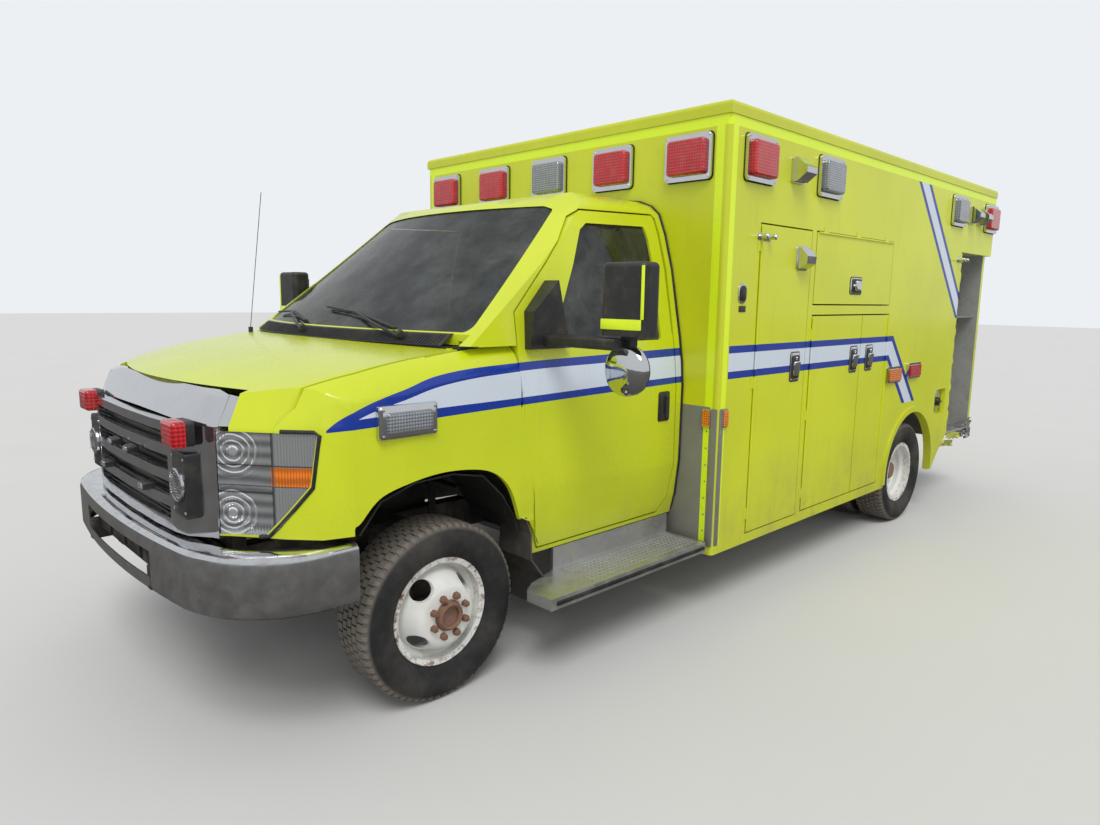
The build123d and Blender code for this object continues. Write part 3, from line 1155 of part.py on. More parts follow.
def warning_lamp():
    """Bezel and lens, back on X = 0, facing +X."""
    bezel = rounded_plate(LAMP_WIDE, LAMP_HIGH, BEZEL_PROUD, 24)
    hole = rounded_plate(LAMP_WIDE - 2 * LENS_MARGIN, LAMP_HIGH - 2 * LENS_MARGIN, BEZEL_PROUD + 1, 20)
    lens = rounded_plate(LAMP_WIDE - 2 * LENS_MARGIN - 2 * SEAT, LAMP_HIGH - 2 * LENS_MARGIN - 2 * SEAT, LENS_PROUD, 20)
    lens = fillet(lens.faces().sort_by(Axis.X)[-1].edges(), 12)
    return bezel - hole, lens


lamp_bezel, lamp_lens = warning_lamp()
bezels = []
lenses = {"red": [], "clear": [], "amber": []}


def place_lamp(place, colour, bezel=lamp_bezel, lens=lamp_lens):
    """Bezel and lens of one lamp at its place."""
    bezels.append(place * bezel)
    lenses[colour].append(place * lens)


FACE_LEFT = Rot(0, 0, 90)
FACE_RIGHT = Rot(0, 0, -90)
FACE_REAR = Rot(0, 0, 180)
for y, colour in FRONT_LAMPS.items():
    place_lamp(Pos(MODULE_FRONT_X, y, LAMP_Z), colour)
for x, colour in SIDE_LAMPS.items():
    place_lamp(Pos(x, MODULE_HALF, LAMP_Z) * FACE_LEFT, colour)
    place_lamp(Pos(x, -MODULE_HALF, LAMP_Z) * FACE_RIGHT, colour)
for y, colour in REAR_LAMPS.items():
    place_lamp(Pos(MODULE_REAR_X, y, LAMP_Z) * FACE_REAR, colour)

# Side marker lamps: x centre, z centre, wide, high, colour
MARKERS = [(-3610, 1124, 220, 112, "amber"), (-3968, 1134, 220, 112, "red")]
MARKER_PROUD = 30


def small_lamp(wide, high, proud, margin, radius):
    """Small bezel with a set-in lens, back on X = 0."""
    bezel = rounded_plate(wide, high, proud * 0.6, radius)
    bezel -= rounded_plate(wide - 2 * margin, high - 2 * margin, proud, radius * 0.6)
    lens = rounded_plate(wide - 2 * margin - 2 * SEAT, high - 2 * margin - 2 * SEAT, proud, radius * 0.6)
    return bezel, lens


for x, z, wide, high, colour in MARKERS:
    marker = small_lamp(wide, high, MARKER_PROUD, 16, 10)
    place_lamp(Pos(x, MODULE_HALF, z) * FACE_LEFT, colour, *marker)
    place_lamp(Pos(x, -MODULE_HALF, z) * FACE_RIGHT, colour, *marker)
# Tail lamps on the rear wall: y, z, colour
TAIL_LAMPS = [(960, 1330, "red"), (960, 1170, "amber"), (960, 1010, "clear")]
tail = small_lamp(200, 140, MARKER_PROUD, 14, 12)
for y, z, colour in TAIL_LAMPS:
    for side in (1, -1):
        place_lamp(Pos(MODULE_REAR_X, side * y, z) * FACE_REAR, colour, *tail)
# Post markers on the front corners
post_marker = small_lamp(46, 90, 20, 6, 5)
for side in (1, -1):
    place_lamp(Pos(MODULE_FRONT_X, side * 1158, 1030), "amber", *post_marker)
# Hooded scene lights: x centre, z centre on the sides
HOODED = [(-2122, 2300), (-4905, 2300), (-5110, 2300)]
hooded = cross_block([(-62, -66), (62, -66), (62, 66), (-62, 66)], 0, 20, 12)
hood_side = [(0, -60), (34, -60), (88, -20), (88, 10), (30, 62), (0, 62)]
hooded += Pos(0, 0, 0) * side_block(hood_side, -56, 56)
for x, z in HOODED:
    bezels.append(Pos(x, MODULE_HALF, z) * FACE_LEFT * hooded)
    bezels.append(Pos(x, -MODULE_HALF, z) * FACE_RIGHT * hooded)
write("lamp_bezels", bezels)
write("lamp_lenses", lenses["red"], lenses["clear"], lenses["amber"])

# Running boards with their step plates and brackets
BOARD_TOP = 400
BOARD_THICK = 50
BOARD_OUTER = 1208
BOARD_FRONT_X = -350
BOARD_REAR_X = -1440
BOARD_INNER = 960
FLAP_CLEAR_X = -600
KICK_Z = SILL_Z - 5
board_plan = [(BOARD_FRONT_X, BOARD_OUTER), (BOARD_REAR_X, BOARD_OUTER), (BOARD_REAR_X, BOARD_INNER),
              (FLAP_CLEAR_X, BOARD_INNER), (BOARD_FRONT_X - 70, 1015), (BOARD_FRONT_X, 1060)]
board = plan_block(board_plan, BOARD_TOP - BOARD_THICK, BOARD_TOP)
board += block(FLAP_CLEAR_X, BOARD_REAR_X, BOARD_INNER - 14, BOARD_INNER, BOARD_TOP - BOARD_THICK, KICK_Z)
for bracket_x in (-660, -1300):
    board += block(bracket_x - 25, bracket_x + 25, RAIL_INNER_Y + 10, BOARD_INNER - 8, RAIL_LOW_FRONT - 26,
                   RAIL_LOW_FRONT - SEAT)
    board += block(bracket_x - 25, bracket_x + 25, BOARD_INNER - 40, BOARD_INNER - 8, BOARD_TOP - BOARD_THICK,
                   RAIL_LOW_FRONT - SEAT)
write("running_boards", both(board))

# Splash guards: arch liner and flap behind each front wheel
LINER_LINE = [(375, 770), (285, 878), (140, 925), (-40, 932), (-195, 900), (-300, 800), (-370, 690), (-385, 640)]
liner_inner = [(x * 0.985, z - 6) for x, z in reversed(LINER_LINE)]
guard = side_block(LINER_LINE + liner_inner, 640, 960)
flap = side_block([(-372, 690), (-380, 692), (-530, 215), (-521, 212)], 700, 930)
guard += flap
# Each guard hangs from a stay on the rail
guard += block(-330, -290, RAIL_OUTER_Y + SEAT, 645, 770, 776)
guard += block(-330, -290, RAIL_OUTER_Y + SEAT, RAIL_OUTER_Y + SEAT + 6, RAIL_TOP_FRONT - 60, 776)
guard = guard.solids().sort_by(SortBy.VOLUME)[-1]
write("splash_guards", both(guard))

# Dashboard with steering column, and seats
dash = side_block([(FIREWALL_X - CAB_FLOOR_THICK - SEAT, 1040), (FIREWALL_X - CAB_FLOOR_THICK - SEAT, 1330), (-500, 1372), (-640, 1330), (-700, 1230), (-640, 1150), (-600, 1040)],
                  -880, 880, 14)
wheel_place = Pos(-820, 420, 1180) * Rot(0, 62, 0)
ring = wheel_place * Torus(185, 14)
spoke = wheel_place * Box(24, 360, 14) + wheel_place * Cylinder(52, 30)
column = Pos(-735, 420, 1135) * Rot(0, 62, 0) * Cylinder(32, 200)
write("dashboard", dash + ring + spoke + column)
SEAT_Y = 480
cushion = side_block([(-960, 900), (-960, 1010), (-1330, 985), (-1330, 880)], SEAT_Y - 240, SEAT_Y + 240, 30)
backrest = side_block([(-1270, 975), (-1350, 1600), (-1430, 1600), (-1400, 900), (-1300, 900)], SEAT_Y - 230, SEAT_Y + 230, 25)
headrest = side_block([(-1345, 1595), (-1350, 1790), (-1440, 1790), (-1430, 1595)], SEAT_Y - 130, SEAT_Y + 130, 25)
base = block(-1340, -1000, SEAT_Y - 180, SEAT_Y + 180, CAB_FLOOR_TOP, 905)
seat = cushion + backrest + headrest + base
write("cab_seats", both(seat))

# Mirrors ride on the cab doors
MIRROR_Y = 1406
HEAD = (-610, -500, 1295, 1515, 1475, 1755)
head = block(*HEAD)
head = fillet(head.edges().filter_by(Axis.Z), 34)
head = fillet(head.faces().sort_by(Axis.Z)[-1].edges(), 20)
sail = side_block([(-400, 1405), (-420, 1560), (-560, 1690), (-620, 1460), (-640, 1405)], 850, 1012) - cab_outer
sail = sail.solids().sort_by(SortBy.VOLUME)[-1]
arm = side_block([(-470, 1420), (-470, 1465), (-560, 1465), (-560, 1420)], 1005, 1400, 12)
stalk = block(-575, -535, 1380, 1430, 1410, 1480)
spot = Pos(-560, MIRROR_Y - 10, 1340) * Rot(0, 90, 0) * Cylinder(98, 40)
spot += block(-575, -545, 1385, 1410, 1390, 1430)
mirror_left = head + arm + stalk + spot
write("mirror_left", mirror_left + sail)
write("mirror_right", other_side(mirror_left + sail))

# Squad bench inside, on the right
bench = block(-4740, -2960, -INNER_HALF, -INNER_HALF + 560, FLOOR_TOP, 1290)
bench -= block(WHEEL_BOX[1] - 10, WHEEL_BOX[0] + 10, -INNER_HALF - 5, -INNER_HALF + 520, FLOOR_TOP - 5, WHEEL_BOX_TOP + 10)
bench += block(-4735, -2965, -INNER_HALF + 2, -INNER_HALF + 555, 1290, 1350)
write("squad_bench", bench)

# Rear step bumper, its left end crushed
STEP_HALF = 1130
STEP_LOW = 455
STEP_HIGH = 535
step_outline = [(MODULE_REAR_X - 6, -STEP_HALF), (STEP_REAR_X + 60, -STEP_HALF), (STEP_REAR_X, -STEP_HALF + 70),
                (STEP_REAR_X, 760), (STEP_REAR_X + 35, 905), (STEP_REAR_X + 95, 980), (STEP_REAR_X + 70, 1070),
                (STEP_REAR_X + 165, 1160), (MODULE_REAR_X - 20, 1185), (MODULE_REAR_X - 6, 1060)]
step = plan_block(step_outline, STEP_LOW, STEP_HIGH)
inner_step = offset(face_of(step_outline), amount=-6)
step -= Pos(0, 0, STEP_LOW - 5) * extrude(inner_step, amount=STEP_HIGH - STEP_LOW - 1)
for side in (1, -1):
    step += block(-5300, STEP_REAR_X + 3, side * (RAIL_INNER_Y + 6), side * (RAIL_OUTER_Y - 6), STEP_LOW + 2, STEP_LOW + 70)
    step += block(-5300, -5430, side * (RAIL_INNER_Y + 6), side * (RAIL_OUTER_Y - 6), STEP_LOW + 2, RAIL_LOW_REAR - SEAT)
write("rear_bumper", step)
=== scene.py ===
import math
import random
import bmesh
import bpy
from bpy.props import FloatProperty, FloatVectorProperty, IntProperty, PointerProperty
from mathutils import Matrix, Vector
from mathutils.bvhtree import BVHTree


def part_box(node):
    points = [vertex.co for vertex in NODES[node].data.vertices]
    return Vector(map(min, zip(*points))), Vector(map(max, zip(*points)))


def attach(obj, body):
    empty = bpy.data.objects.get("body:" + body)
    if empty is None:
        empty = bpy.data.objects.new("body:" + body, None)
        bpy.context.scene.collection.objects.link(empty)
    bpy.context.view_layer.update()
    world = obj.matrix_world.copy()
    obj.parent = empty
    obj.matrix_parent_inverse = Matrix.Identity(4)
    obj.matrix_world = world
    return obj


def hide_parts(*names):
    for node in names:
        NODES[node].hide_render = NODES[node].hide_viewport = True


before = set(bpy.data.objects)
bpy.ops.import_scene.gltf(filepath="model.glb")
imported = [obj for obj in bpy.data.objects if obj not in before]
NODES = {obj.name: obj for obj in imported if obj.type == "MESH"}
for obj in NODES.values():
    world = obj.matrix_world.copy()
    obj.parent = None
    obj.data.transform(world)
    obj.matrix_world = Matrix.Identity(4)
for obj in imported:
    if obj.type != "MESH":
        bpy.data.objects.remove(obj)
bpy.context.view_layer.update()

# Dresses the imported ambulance: paint and wear on its solids, and the trim that they carry.
# Metres. Places are written from the front axle, as in the part's source, and at() moves them to the frame.

bl_info = {
    "name": "Ambulance dressing",
    "version": (1, 0, 0),
    "blender": (4, 5, 0),
    "location": "3D View > Sidebar > Ambulance",
    "description": "Paint, lamps, tyres, trim and wear for the box ambulance",
    "category": "Object",
}

AXLE_X = sum(corner.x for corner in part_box("front_tyre_left")) / 2
AXLE_Z = sum(corner.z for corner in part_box("front_tyre_left")) / 2
REAR_AXLE_X = sum(corner.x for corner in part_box("rear_tyres_left")) / 2 - AXLE_X
MODULE_HALF = 1.218
MODULE_FRONT_X = -1.479
MODULE_REAR_X = -5.5
SEED = 7


def at(x, y, z):
    """A place measured from the front axle, in the frame."""
    return Vector((x + AXLE_X, y, z))


# Places on the object, facing outwards: local X and Y lie in the surface, Z points out
FACINGS = {
    "left": ((-1, 0, 0), (0, 0, 1), (0, 1, 0)),
    "right": ((1, 0, 0), (0, 0, 1), (0, -1, 0)),
    "front": ((0, 1, 0), (0, 0, 1), (1, 0, 0)),
    "rear": ((0, -1, 0), (0, 0, 1), (-1, 0, 0)),
}
SIDES = {"left": 1, "right": -1}
HERE = Matrix.Identity(4)


def facing(side, x, y, z):
    """Matrix that puts a flat piece at a place, facing one way."""
    turn = Matrix(FACINGS[side]).transposed().to_4x4()
    return Matrix.Translation(at(x, y, z)) @ turn


def moved(place, x, y, z):
    """A place shifted along its own axes."""
    return place @ Matrix.Translation((x, y, z))


# Settings that a user may change
def colour(name, description, value):
    """Colour setting."""
    values = {"name": name, "description": description, "default": value}
    return FloatVectorProperty(subtype="COLOR", size=3, min=0, max=1, **values)


def length(name, description, value, least=0.001):
    """Setting in metres."""
    values = {"name": name, "description": description, "default": value}
    return FloatProperty(min=least, unit="LENGTH", **values)


class AmbulancePaint(bpy.types.PropertyGroup):
    """Colours of the bodywork"""

    cab: colour("Cab", "Lime paint of the cab", (0.60, 0.68, 0.012))
    module: colour("Module", "Duller lime paint of the box", (0.62, 0.675, 0.010))
    tape: colour("Tape", "Fluorescent yellow tape", (0.74, 0.93, 0.01))
    blue: colour("Blue stripe", "Edges of the stripes", (0.002, 0.030, 0.30))
    white: colour("White stripe", "Middle of the stripes", (0.62, 0.68, 0.76))
    dust: colour("Dust", "Road dust on the lower panels", (0.23, 0.18, 0.11))
    dust_height: length("Dust height", "Where road dust fades out", 1.0, 0)


class AmbulanceLamps(bpy.types.PropertyGroup):
    """Colours of the lenses"""

    red: colour("Red", "Red lens", (0.55, 0.006, 0.012))
    amber: colour("Amber", "Amber lens", (0.85, 0.20, 0.01))
    clear: colour("Clear", "Clear lens over its reflector", (0.30, 0.32, 0.35))


class AmbulanceTyres(bpy.types.PropertyGroup):
    """Sizes of the tread"""

    depth: length("Groove depth", "Depth of the worn grooves", 0.007, 0)
    steps: IntProperty(name="Steps", description="Steps round a tyre", default=120, min=24)


class AmbulanceStage(bpy.types.PropertyGroup):
    """Floor and light"""

    floor: colour("Floor", "Pale floor", (0.62, 0.61, 0.59))
    sky: colour("Sky", "Background", (0.84, 0.87, 0.90))
    light: FloatProperty(name="Sky light", description="Strength of the sky's light", default=0.75, min=0)
    sun: FloatProperty(name="Sun", description="Strength of the soft main light", default=1.6, min=0)


class AmbulanceSettings(bpy.types.PropertyGroup):
    """Everything that can be set"""

    paint: PointerProperty(type=AmbulancePaint)
    lamps: PointerProperty(type=AmbulanceLamps)
    tyres: PointerProperty(type=AmbulanceTyres)
    stage: PointerProperty(type=AmbulanceStage)


# Shader arithmetic
MIX_COLOUR = {"data_type": "RGBA"}
MIX_FACTOR = 0
MIX_A = 6
MIX_B = 7
MIX_OUT = 2


class Wire:
    """One output of a shader node, used in plain arithmetic."""

    def __init__(self, shader, socket):
        self.shader = shader
        self.socket = socket

    def maths(self, operation, *values):
        return self.shader.add("ShaderNodeMath", {"operation": operation}, dict(enumerate(values)))

    def __add__(self, other):
        return self.maths("ADD", self, other)

    def __sub__(self, other):
        return self.maths("SUBTRACT", self, other)

    def __rsub__(self, other):
        return self.maths("SUBTRACT", other, self)

    def __mul__(self, other):
        return self.maths("MULTIPLY", self, other)

    def __truediv__(self, other):
        return self.maths("DIVIDE", self, other)

    def __pow__(self, other):
        return self.maths("POWER", self, other)

    def __abs__(self):
        return self.maths("ABSOLUTE", self)

    def __gt__(self, other):
        return self.maths("GREATER_THAN", self, other)

    def __lt__(self, other):
        return self.maths("LESS_THAN", self, other)

    def sine(self):
        return self.maths("SINE", self)

    def both(self, other):
        return self.maths("MINIMUM", self, other)

    def either(self, other):
        return self.maths("MAXIMUM", self, other)

    def between(self, low, high):
        return (self > low) * (self < high)

    __radd__ = __add__
    __rmul__ = __mul__


class Shader:
    """One material under construction."""

    def __init__(self, name):
        self.material = bpy.data.materials.new(name)
        self.material.use_nodes = True
        self.tree = self.material.node_tree
        self.tree.nodes.clear()
        self.place = self.add("ShaderNodeTexCoord", output="Object")
        parts = self.add("ShaderNodeSeparateXYZ", inputs={0: self.place})
        outputs = parts.socket.node.outputs
        self.x = Wire(self, outputs[0]) - AXLE_X
        self.y = Wire(self, outputs[1])
        self.z = Wire(self, outputs[2])

    def add(self, kind, settings=None, inputs=None, output=0):
        """One node: its settings first, then the values or links of its sockets."""
        node = self.tree.nodes.new(kind)
        for key, value in (settings or {}).items():
            if key == "stops":
                self.set_stops(node.color_ramp, value)
            elif key == "points":
                self.set_points(node.mapping, value)
            else:
                setattr(node, key, value)
        for key, value in (inputs or {}).items():
            if isinstance(value, Wire):
                self.tree.links.new(value.socket, node.inputs[key])
            else:
                node.inputs[key].default_value = value
        return Wire(self, node.outputs[output])

    def set_stops(self, ramp, stops):
        while len(ramp.elements) < len(stops):
            ramp.elements.new(0.5)
        for element, (position, value) in zip(ramp.elements, stops):
            element.position = position
            element.color = (value, value, value, 1)

    def set_points(self, mapping, points):
        curve = mapping.curves[0]
        while len(curve.points) < len(points):
            curve.points.new(0.5, 0.5)
        for point, place in zip(curve.points, points):
            point.location = place
        mapping.update()

    def noise(self, scale, detail=3.0, stretch=(1, 1, 1), roughness=0.5):
        """Even noise from 0 to 1, scale in lumps to the metre."""
        vector = self.add("ShaderNodeMapping", inputs={"Vector": self.place, "Scale": stretch})
        values = {"Vector": vector, "Scale": scale, "Detail": detail, "Roughness": roughness}
        return self.add("ShaderNodeTexNoise", inputs=values)

    def blots(self, scale, detail, low, high, stretch=(1, 1, 1), roughness=0.5):
        """Noise pushed apart into blots between two of its levels."""
        return self.ramp(self.noise(scale, detail, stretch, roughness), low, high)

    def far(self, x, z):
        """Distance from a place on the side, seen square on."""
        across = self.x - x
        up = self.z - z
        return (across * across + up * up) ** 0.5

    def ramp(self, value, low, high):
        """0 at low, 1 at high, smooth between."""
        settings = {"interpolation_type": "SMOOTHSTEP"}
        return self.add("ShaderNodeMapRange", settings, {"Value": value, "From Min": low, "From Max": high})

    def curve(self, value, points):
        """Smooth line through points of position and height."""
        xs = [x for x, height in points]
        ys = [height for x, height in points]
        wide, high = max(xs) - min(xs), max(ys) - min(ys)
        unit = [((x - min(xs)) / wide, (y - min(ys)) / high) for x, y in sorted(points)]
        inputs = {"Factor": 1.0, "Value": (value - min(xs)) / wide}
        return self.add("ShaderNodeFloatCurve", {"points": unit}, inputs) * high + min(ys)

    def mix(self, factor, first, second):
        """Colour between first and second."""
        values = {MIX_FACTOR: factor, MIX_A: rgba(first), MIX_B: rgba(second)}
        return self.add("ShaderNodeMix", MIX_COLOUR, values, MIX_OUT)

    def finish(self, fixed, varied, bump=None, strength=0.3, depth=0.002):
        """Principled surface: fixed values on its sockets, and what varies linked to them."""
        values = dict(fixed)
        values.update(varied)
        if bump is not None:
            heights = {"Height": bump, "Strength": strength, "Distance": depth}
            values["Normal"] = self.add("ShaderNodeBump", inputs=heights)
        surface = self.add("ShaderNodeBsdfPrincipled", inputs=values)
        self.add_output(surface)
        return self.material

    def add_output(self, surface):
        node = self.tree.nodes.new("ShaderNodeOutputMaterial")
        self.tree.links.new(surface.socket, node.inputs["Surface"])


def rgba(value):
    """Colour with alpha, or the wire as it is."""
    return value if isinstance(value, Wire) else (*value[:3], 1)


def shade(value, factor):
    """Plain colour made lighter or darker."""
    return tuple(min(1, part * factor) for part in value[:3])


# Stripes, as places from the front axle
BAND_MIDDLE_Z = 1.308
BAND_HALF = 0.083
BAND_WHITE_HALF = 0.046
BAND_START_X = -1.553
BAND_END_Z = 0.905
BAND_CORNER = (-3.529, 1.322)
BAND_FALL = (-0.71, 0.70)
UPPER_BAND_THROUGH = (-3.9235, 2.435)
UPPER_BAND_FALL = (-0.6988, 0.7153)
RAIL_TAPE = (2.437, 2.484)
CORNER_TAPE = (-1.545, -1.501)
FRONT_TAPE = (1.140, 1.185)
TAPE_LOW = 0.369
CAB_STRIPE_TOP = [(-1.465, 1.373), (-0.9, 1.363), (-0.35, 1.352), (-0.041, 1.336), (0.205, 1.281),
                  (0.355, 1.236), (0.50, 1.150)]
CAB_WHITE_TOP = [(-1.465, 1.334), (-0.9, 1.326), (-0.35, 1.317), (-0.041, 1.297), (0.205, 1.245),
                 (0.372, 1.195), (0.50, 1.10)]
CAB_WHITE_LOW = [(-1.465, 1.229), (-0.9, 1.220), (-0.35, 1.209), (0.10, 1.203), (0.37, 1.192),
                 (0.50, 1.186)]
CAB_STRIPE_LOW = [(-1.465, 1.197), (-0.9, 1.188), (-0.35, 1.178), (0.10, 1.167), (0.50, 1.152)]
CAB_STRIPE_TIP = 0.487
CAB_SIDE_Y = 0.90
LOWER_BAND_REAR_X = -4.2
UPPER_BAND_FRONT_X = -3.6
UPPER_BAND_LOW_Z = 1.5
# How near a face a mark on it reaches
NEAR = 0.004


def cab_stripes(shader):
    """Masks of blue and white on the cab's side."""
    top = shader.z < shader.curve(shader.x, CAB_STRIPE_TOP)
    low = shader.z > shader.curve(shader.x, CAB_STRIPE_LOW)
    side = abs(shader.y) > CAB_SIDE_Y
    whole = top * low * side * (shader.x < CAB_STRIPE_TIP)
    white_top = shader.z < shader.curve(shader.x, CAB_WHITE_TOP)
    white_low = shader.z > shader.curve(shader.x, CAB_WHITE_LOW)
    return whole, whole * white_top * white_low


def band_across(shader, through, across):
    """Distance across a slanting band."""
    return (shader.x - through[0]) * across[0] + (shader.z - through[1]) * across[1]


def module_stripes(shader):
    """Masks of blue and white on the box's sides and rear."""
    side = abs(shader.y) > MODULE_HALF - NEAR
    rear = shader.x < MODULE_REAR_X + NEAR
    level = shader.z - BAND_MIDDLE_Z
    low_band = abs(level.either(band_across(shader, BAND_CORNER, BAND_FALL)))
    low_zone = side * shader.x.between(LOWER_BAND_REAR_X, BAND_START_X) * (shader.z > BAND_END_Z)
    upper = abs(band_across(shader, UPPER_BAND_THROUGH, UPPER_BAND_FALL))
    upper_zone = side * shader.z.between(UPPER_BAND_LOW_Z, RAIL_TAPE[0]) * (shader.x < UPPER_BAND_FRONT_X)
    masks = []
    for half in (BAND_HALF, BAND_WHITE_HALF):
        mask = ((low_band < half) * low_zone).either((upper < half) * upper_zone)
        masks.append(mask.either((abs(level) < half) * rear))
    return masks


def module_tape(shader):
    """Mask of the fluorescent tape along the rail and down the front corners."""
    rail = shader.z.between(*RAIL_TAPE)
    side = (abs(shader.y) > MODULE_HALF - NEAR) * shader.x.between(*CORNER_TAPE)
    front = (shader.x > MODULE_FRONT_X - NEAR) * abs(shader.y).between(*FRONT_TAPE)
    edge = (shader.x > MODULE_REAR_X + NEAR).either(abs(shader.y) < MODULE_HALF - NEAR)
    return (rail * edge).either(side.either(front) * shader.z.between(TAPE_LOW, RAIL_TAPE[1]))


DUST_FULL_Z = 0.3


def dust_mask(shader, height, most):
    """Road dust: thick below, gone above height, broken by noise and streaks."""
    low = 1 - shader.ramp(shader.z, DUST_FULL_Z, height)
    patches = shader.blots(3.5, 6, 0.38, 0.75, roughness=0.65)
    streaks = shader.blots(14, 3, 0.5, 0.8, (1, 1, 0.12))
    return (low * (0.25 + 0.5 * patches + 0.35 * streaks)) * most


def body_paint(name, paint, base, stripes, tape=False, gloss=0.3, wear=1.0):
    """Sprayed panel: faded colour, stripes, tape, dust and fine orange peel."""
    shader = Shader(name)
    fade = shader.blots(1.3, 4, 0.3, 0.75)
    skin = shader.mix(fade, shade(base, 0.93), shade(base, 1.06))
    if stripes:
        whole, white = stripes(shader)
        skin = shader.mix(whole, skin, paint.blue)
        skin = shader.mix(white, skin, paint.white)
    if tape:
        skin = shader.mix(module_tape(shader), skin, paint.tape)
    grime = shader.blots(9, 8, 0.55, 0.85, roughness=0.7) * (0.14 * wear)
    rain = shader.blots(22, 2, 0.55, 0.9, (1, 1, 0.05)) * (0.10 * wear)
    dust = dust_mask(shader, paint.dust_height, 0.55 * wear)
    dirt = grime.either(rain).either(dust)
    skin = shader.mix(dirt, skin, paint.dust)
    rough = gloss + dirt * 0.5 + shader.noise(40, 2) * 0.05
    peel = shader.noise(260, 1)
    fixed = {"Coat Weight": 0.35, "Coat Roughness": 0.12}
    return shader.finish(fixed, {"Base Color": skin, "Roughness": rough}, peel, 0.05, 0.0006)


DIRT = (0.2, 0.16, 0.11)
RUST = (0.17, 0.07, 0.03)


def plain_finish(name, base, rough, metal=0.0, dirt=DIRT, dirty=0.3, grain=60, bump=0.15, contrast=0.15):
    """General worn surface: mottled colour, dirt in patches and fine grain."""
    shader = Shader(name)
    mottle = shader.noise(6, 5)
    skin = shader.mix(mottle, shade(base, 1 - contrast), shade(base, 1 + contrast))
    patches = shader.blots(11, 7, 0.42, 0.8, roughness=0.7) * dirty
    skin = shader.mix(patches, skin, dirt)
    varied = {"Base Color": skin, "Roughness": rough + patches * 0.4}
    if metal:
        varied["Metallic"] = metal - patches * metal
    return shader.finish({}, varied, shader.noise(grain, 4), bump, 0.001)


# Radii between which one part of a tyre or a wheel turns into the next
TREAD_EDGE = (0.335, 0.355)
FLANGE_EDGE = (0.185, 0.215)
HUB_EDGE = (0.060, 0.068)
RUST_RUN_RADIUS = 0.125
WHEEL_INNER_Y = 0.76


def rubber(name):
    """Worn tyre: grey tread face, dusty shoulder, near black side."""
    shader = Shader(name)
    radius = shader.far(0.0, AXLE_Z).both(shader.far(REAR_AXLE_X, AXLE_Z))
    tread = shader.ramp(radius, *TREAD_EDGE)
    wear = shader.noise(45, 8, roughness=0.75)
    side_dust = shader.blots(5, 6, 0.35, 0.75, roughness=0.65)
    side = shader.mix(side_dust * 0.5, (0.012, 0.012, 0.013), (0.10, 0.088, 0.07))
    face = shader.mix(wear, (0.085, 0.075, 0.062), (0.23, 0.20, 0.165))
    skin = shader.mix(tread, side, face)
    rings = (radius * 900.0).sine()
    bump = wear + rings * (1 - tread) * 0.15
    return shader.finish({}, {"Base Color": skin, "Roughness": 0.62 + wear * 0.3}, bump, 0.4, 0.002)


def wheel_paint(name, axle_x, face_y, lug_reach):
    """White steel wheel: rust on nuts and hub, chips at the flange, dust in the dish."""
    shader = Shader(name)
    radius = shader.far(axle_x, AXLE_Z)
    chips = shader.noise(38, 8, roughness=0.8)
    stain = shader.noise(9, 5)
    skin = shader.mix(stain, (0.66, 0.65, 0.61), (0.80, 0.80, 0.77))
    dust = shader.ramp(stain, 0.45, 0.75) * 0.35
    skin = shader.mix(dust, skin, (0.40, 0.35, 0.28))
    edge = shader.ramp(radius, *FLANGE_EDGE) * shader.ramp(chips, 0.48, 0.62)
    hub = 1 - shader.ramp(radius, *HUB_EDGE)
    nuts = (radius < lug_reach) * (abs(shader.y) > face_y)
    run = (radius < RUST_RUN_RADIUS) * shader.ramp(chips, 0.55, 0.75) * 0.6
    inner = abs(shader.y) < WHEEL_INNER_Y
    rust = edge.either(hub * 0.92).either(nuts * 0.95).either(run).either(inner * 0.8)
    brown = shader.mix(chips, (0.09, 0.035, 0.016), (0.26, 0.11, 0.05))
    skin = shader.mix(rust, skin, brown)
    varied = {"Base Color": skin, "Roughness": 0.38 + rust * 0.45}
    return shader.finish({}, varied, chips * rust, 0.5, 0.0015)


DULL_CHROME_HEIGHTS = (0.55, 1.3)


def chrome(name, rough=0.07, dull=0.5):
    """Plated steel: bright, with haze, water marks and brown specks low down."""
    shader = Shader(name)
    haze = shader.blots(12, 7, 0.35, 0.8, roughness=0.7)
    low = 1 - shader.ramp(shader.z, *DULL_CHROME_HEIGHTS)
    marks = haze * (0.25 + low * 0.75) * dull
    skin = shader.mix(marks, (0.66, 0.67, 0.69), (0.27, 0.235, 0.19))
    varied = {"Base Color": skin, "Roughness": rough + marks * 0.32, "Metallic": 1 - marks * 0.35}
    return shader.finish({}, varied, shader.noise(90, 5), 0.06, 0.001)


def glass(name, tint, alpha):
    """Thin window glass, seen through, with a film of dust."""
    shader = Shader(name)
    film = shader.blots(4, 6, 0.35, 0.8, roughness=0.7)
    skin = shader.mix(film * 0.3, tint, (0.30, 0.31, 0.30))
    varied = {"Base Color": skin, "Roughness": film * 0.06 + 0.02, "Alpha": alpha + film * 0.10}
    return shader.finish({"IOR": 1.45, "Specular IOR Level": 0.6}, varied, shader.noise(30, 2), 0.02, 0.001)


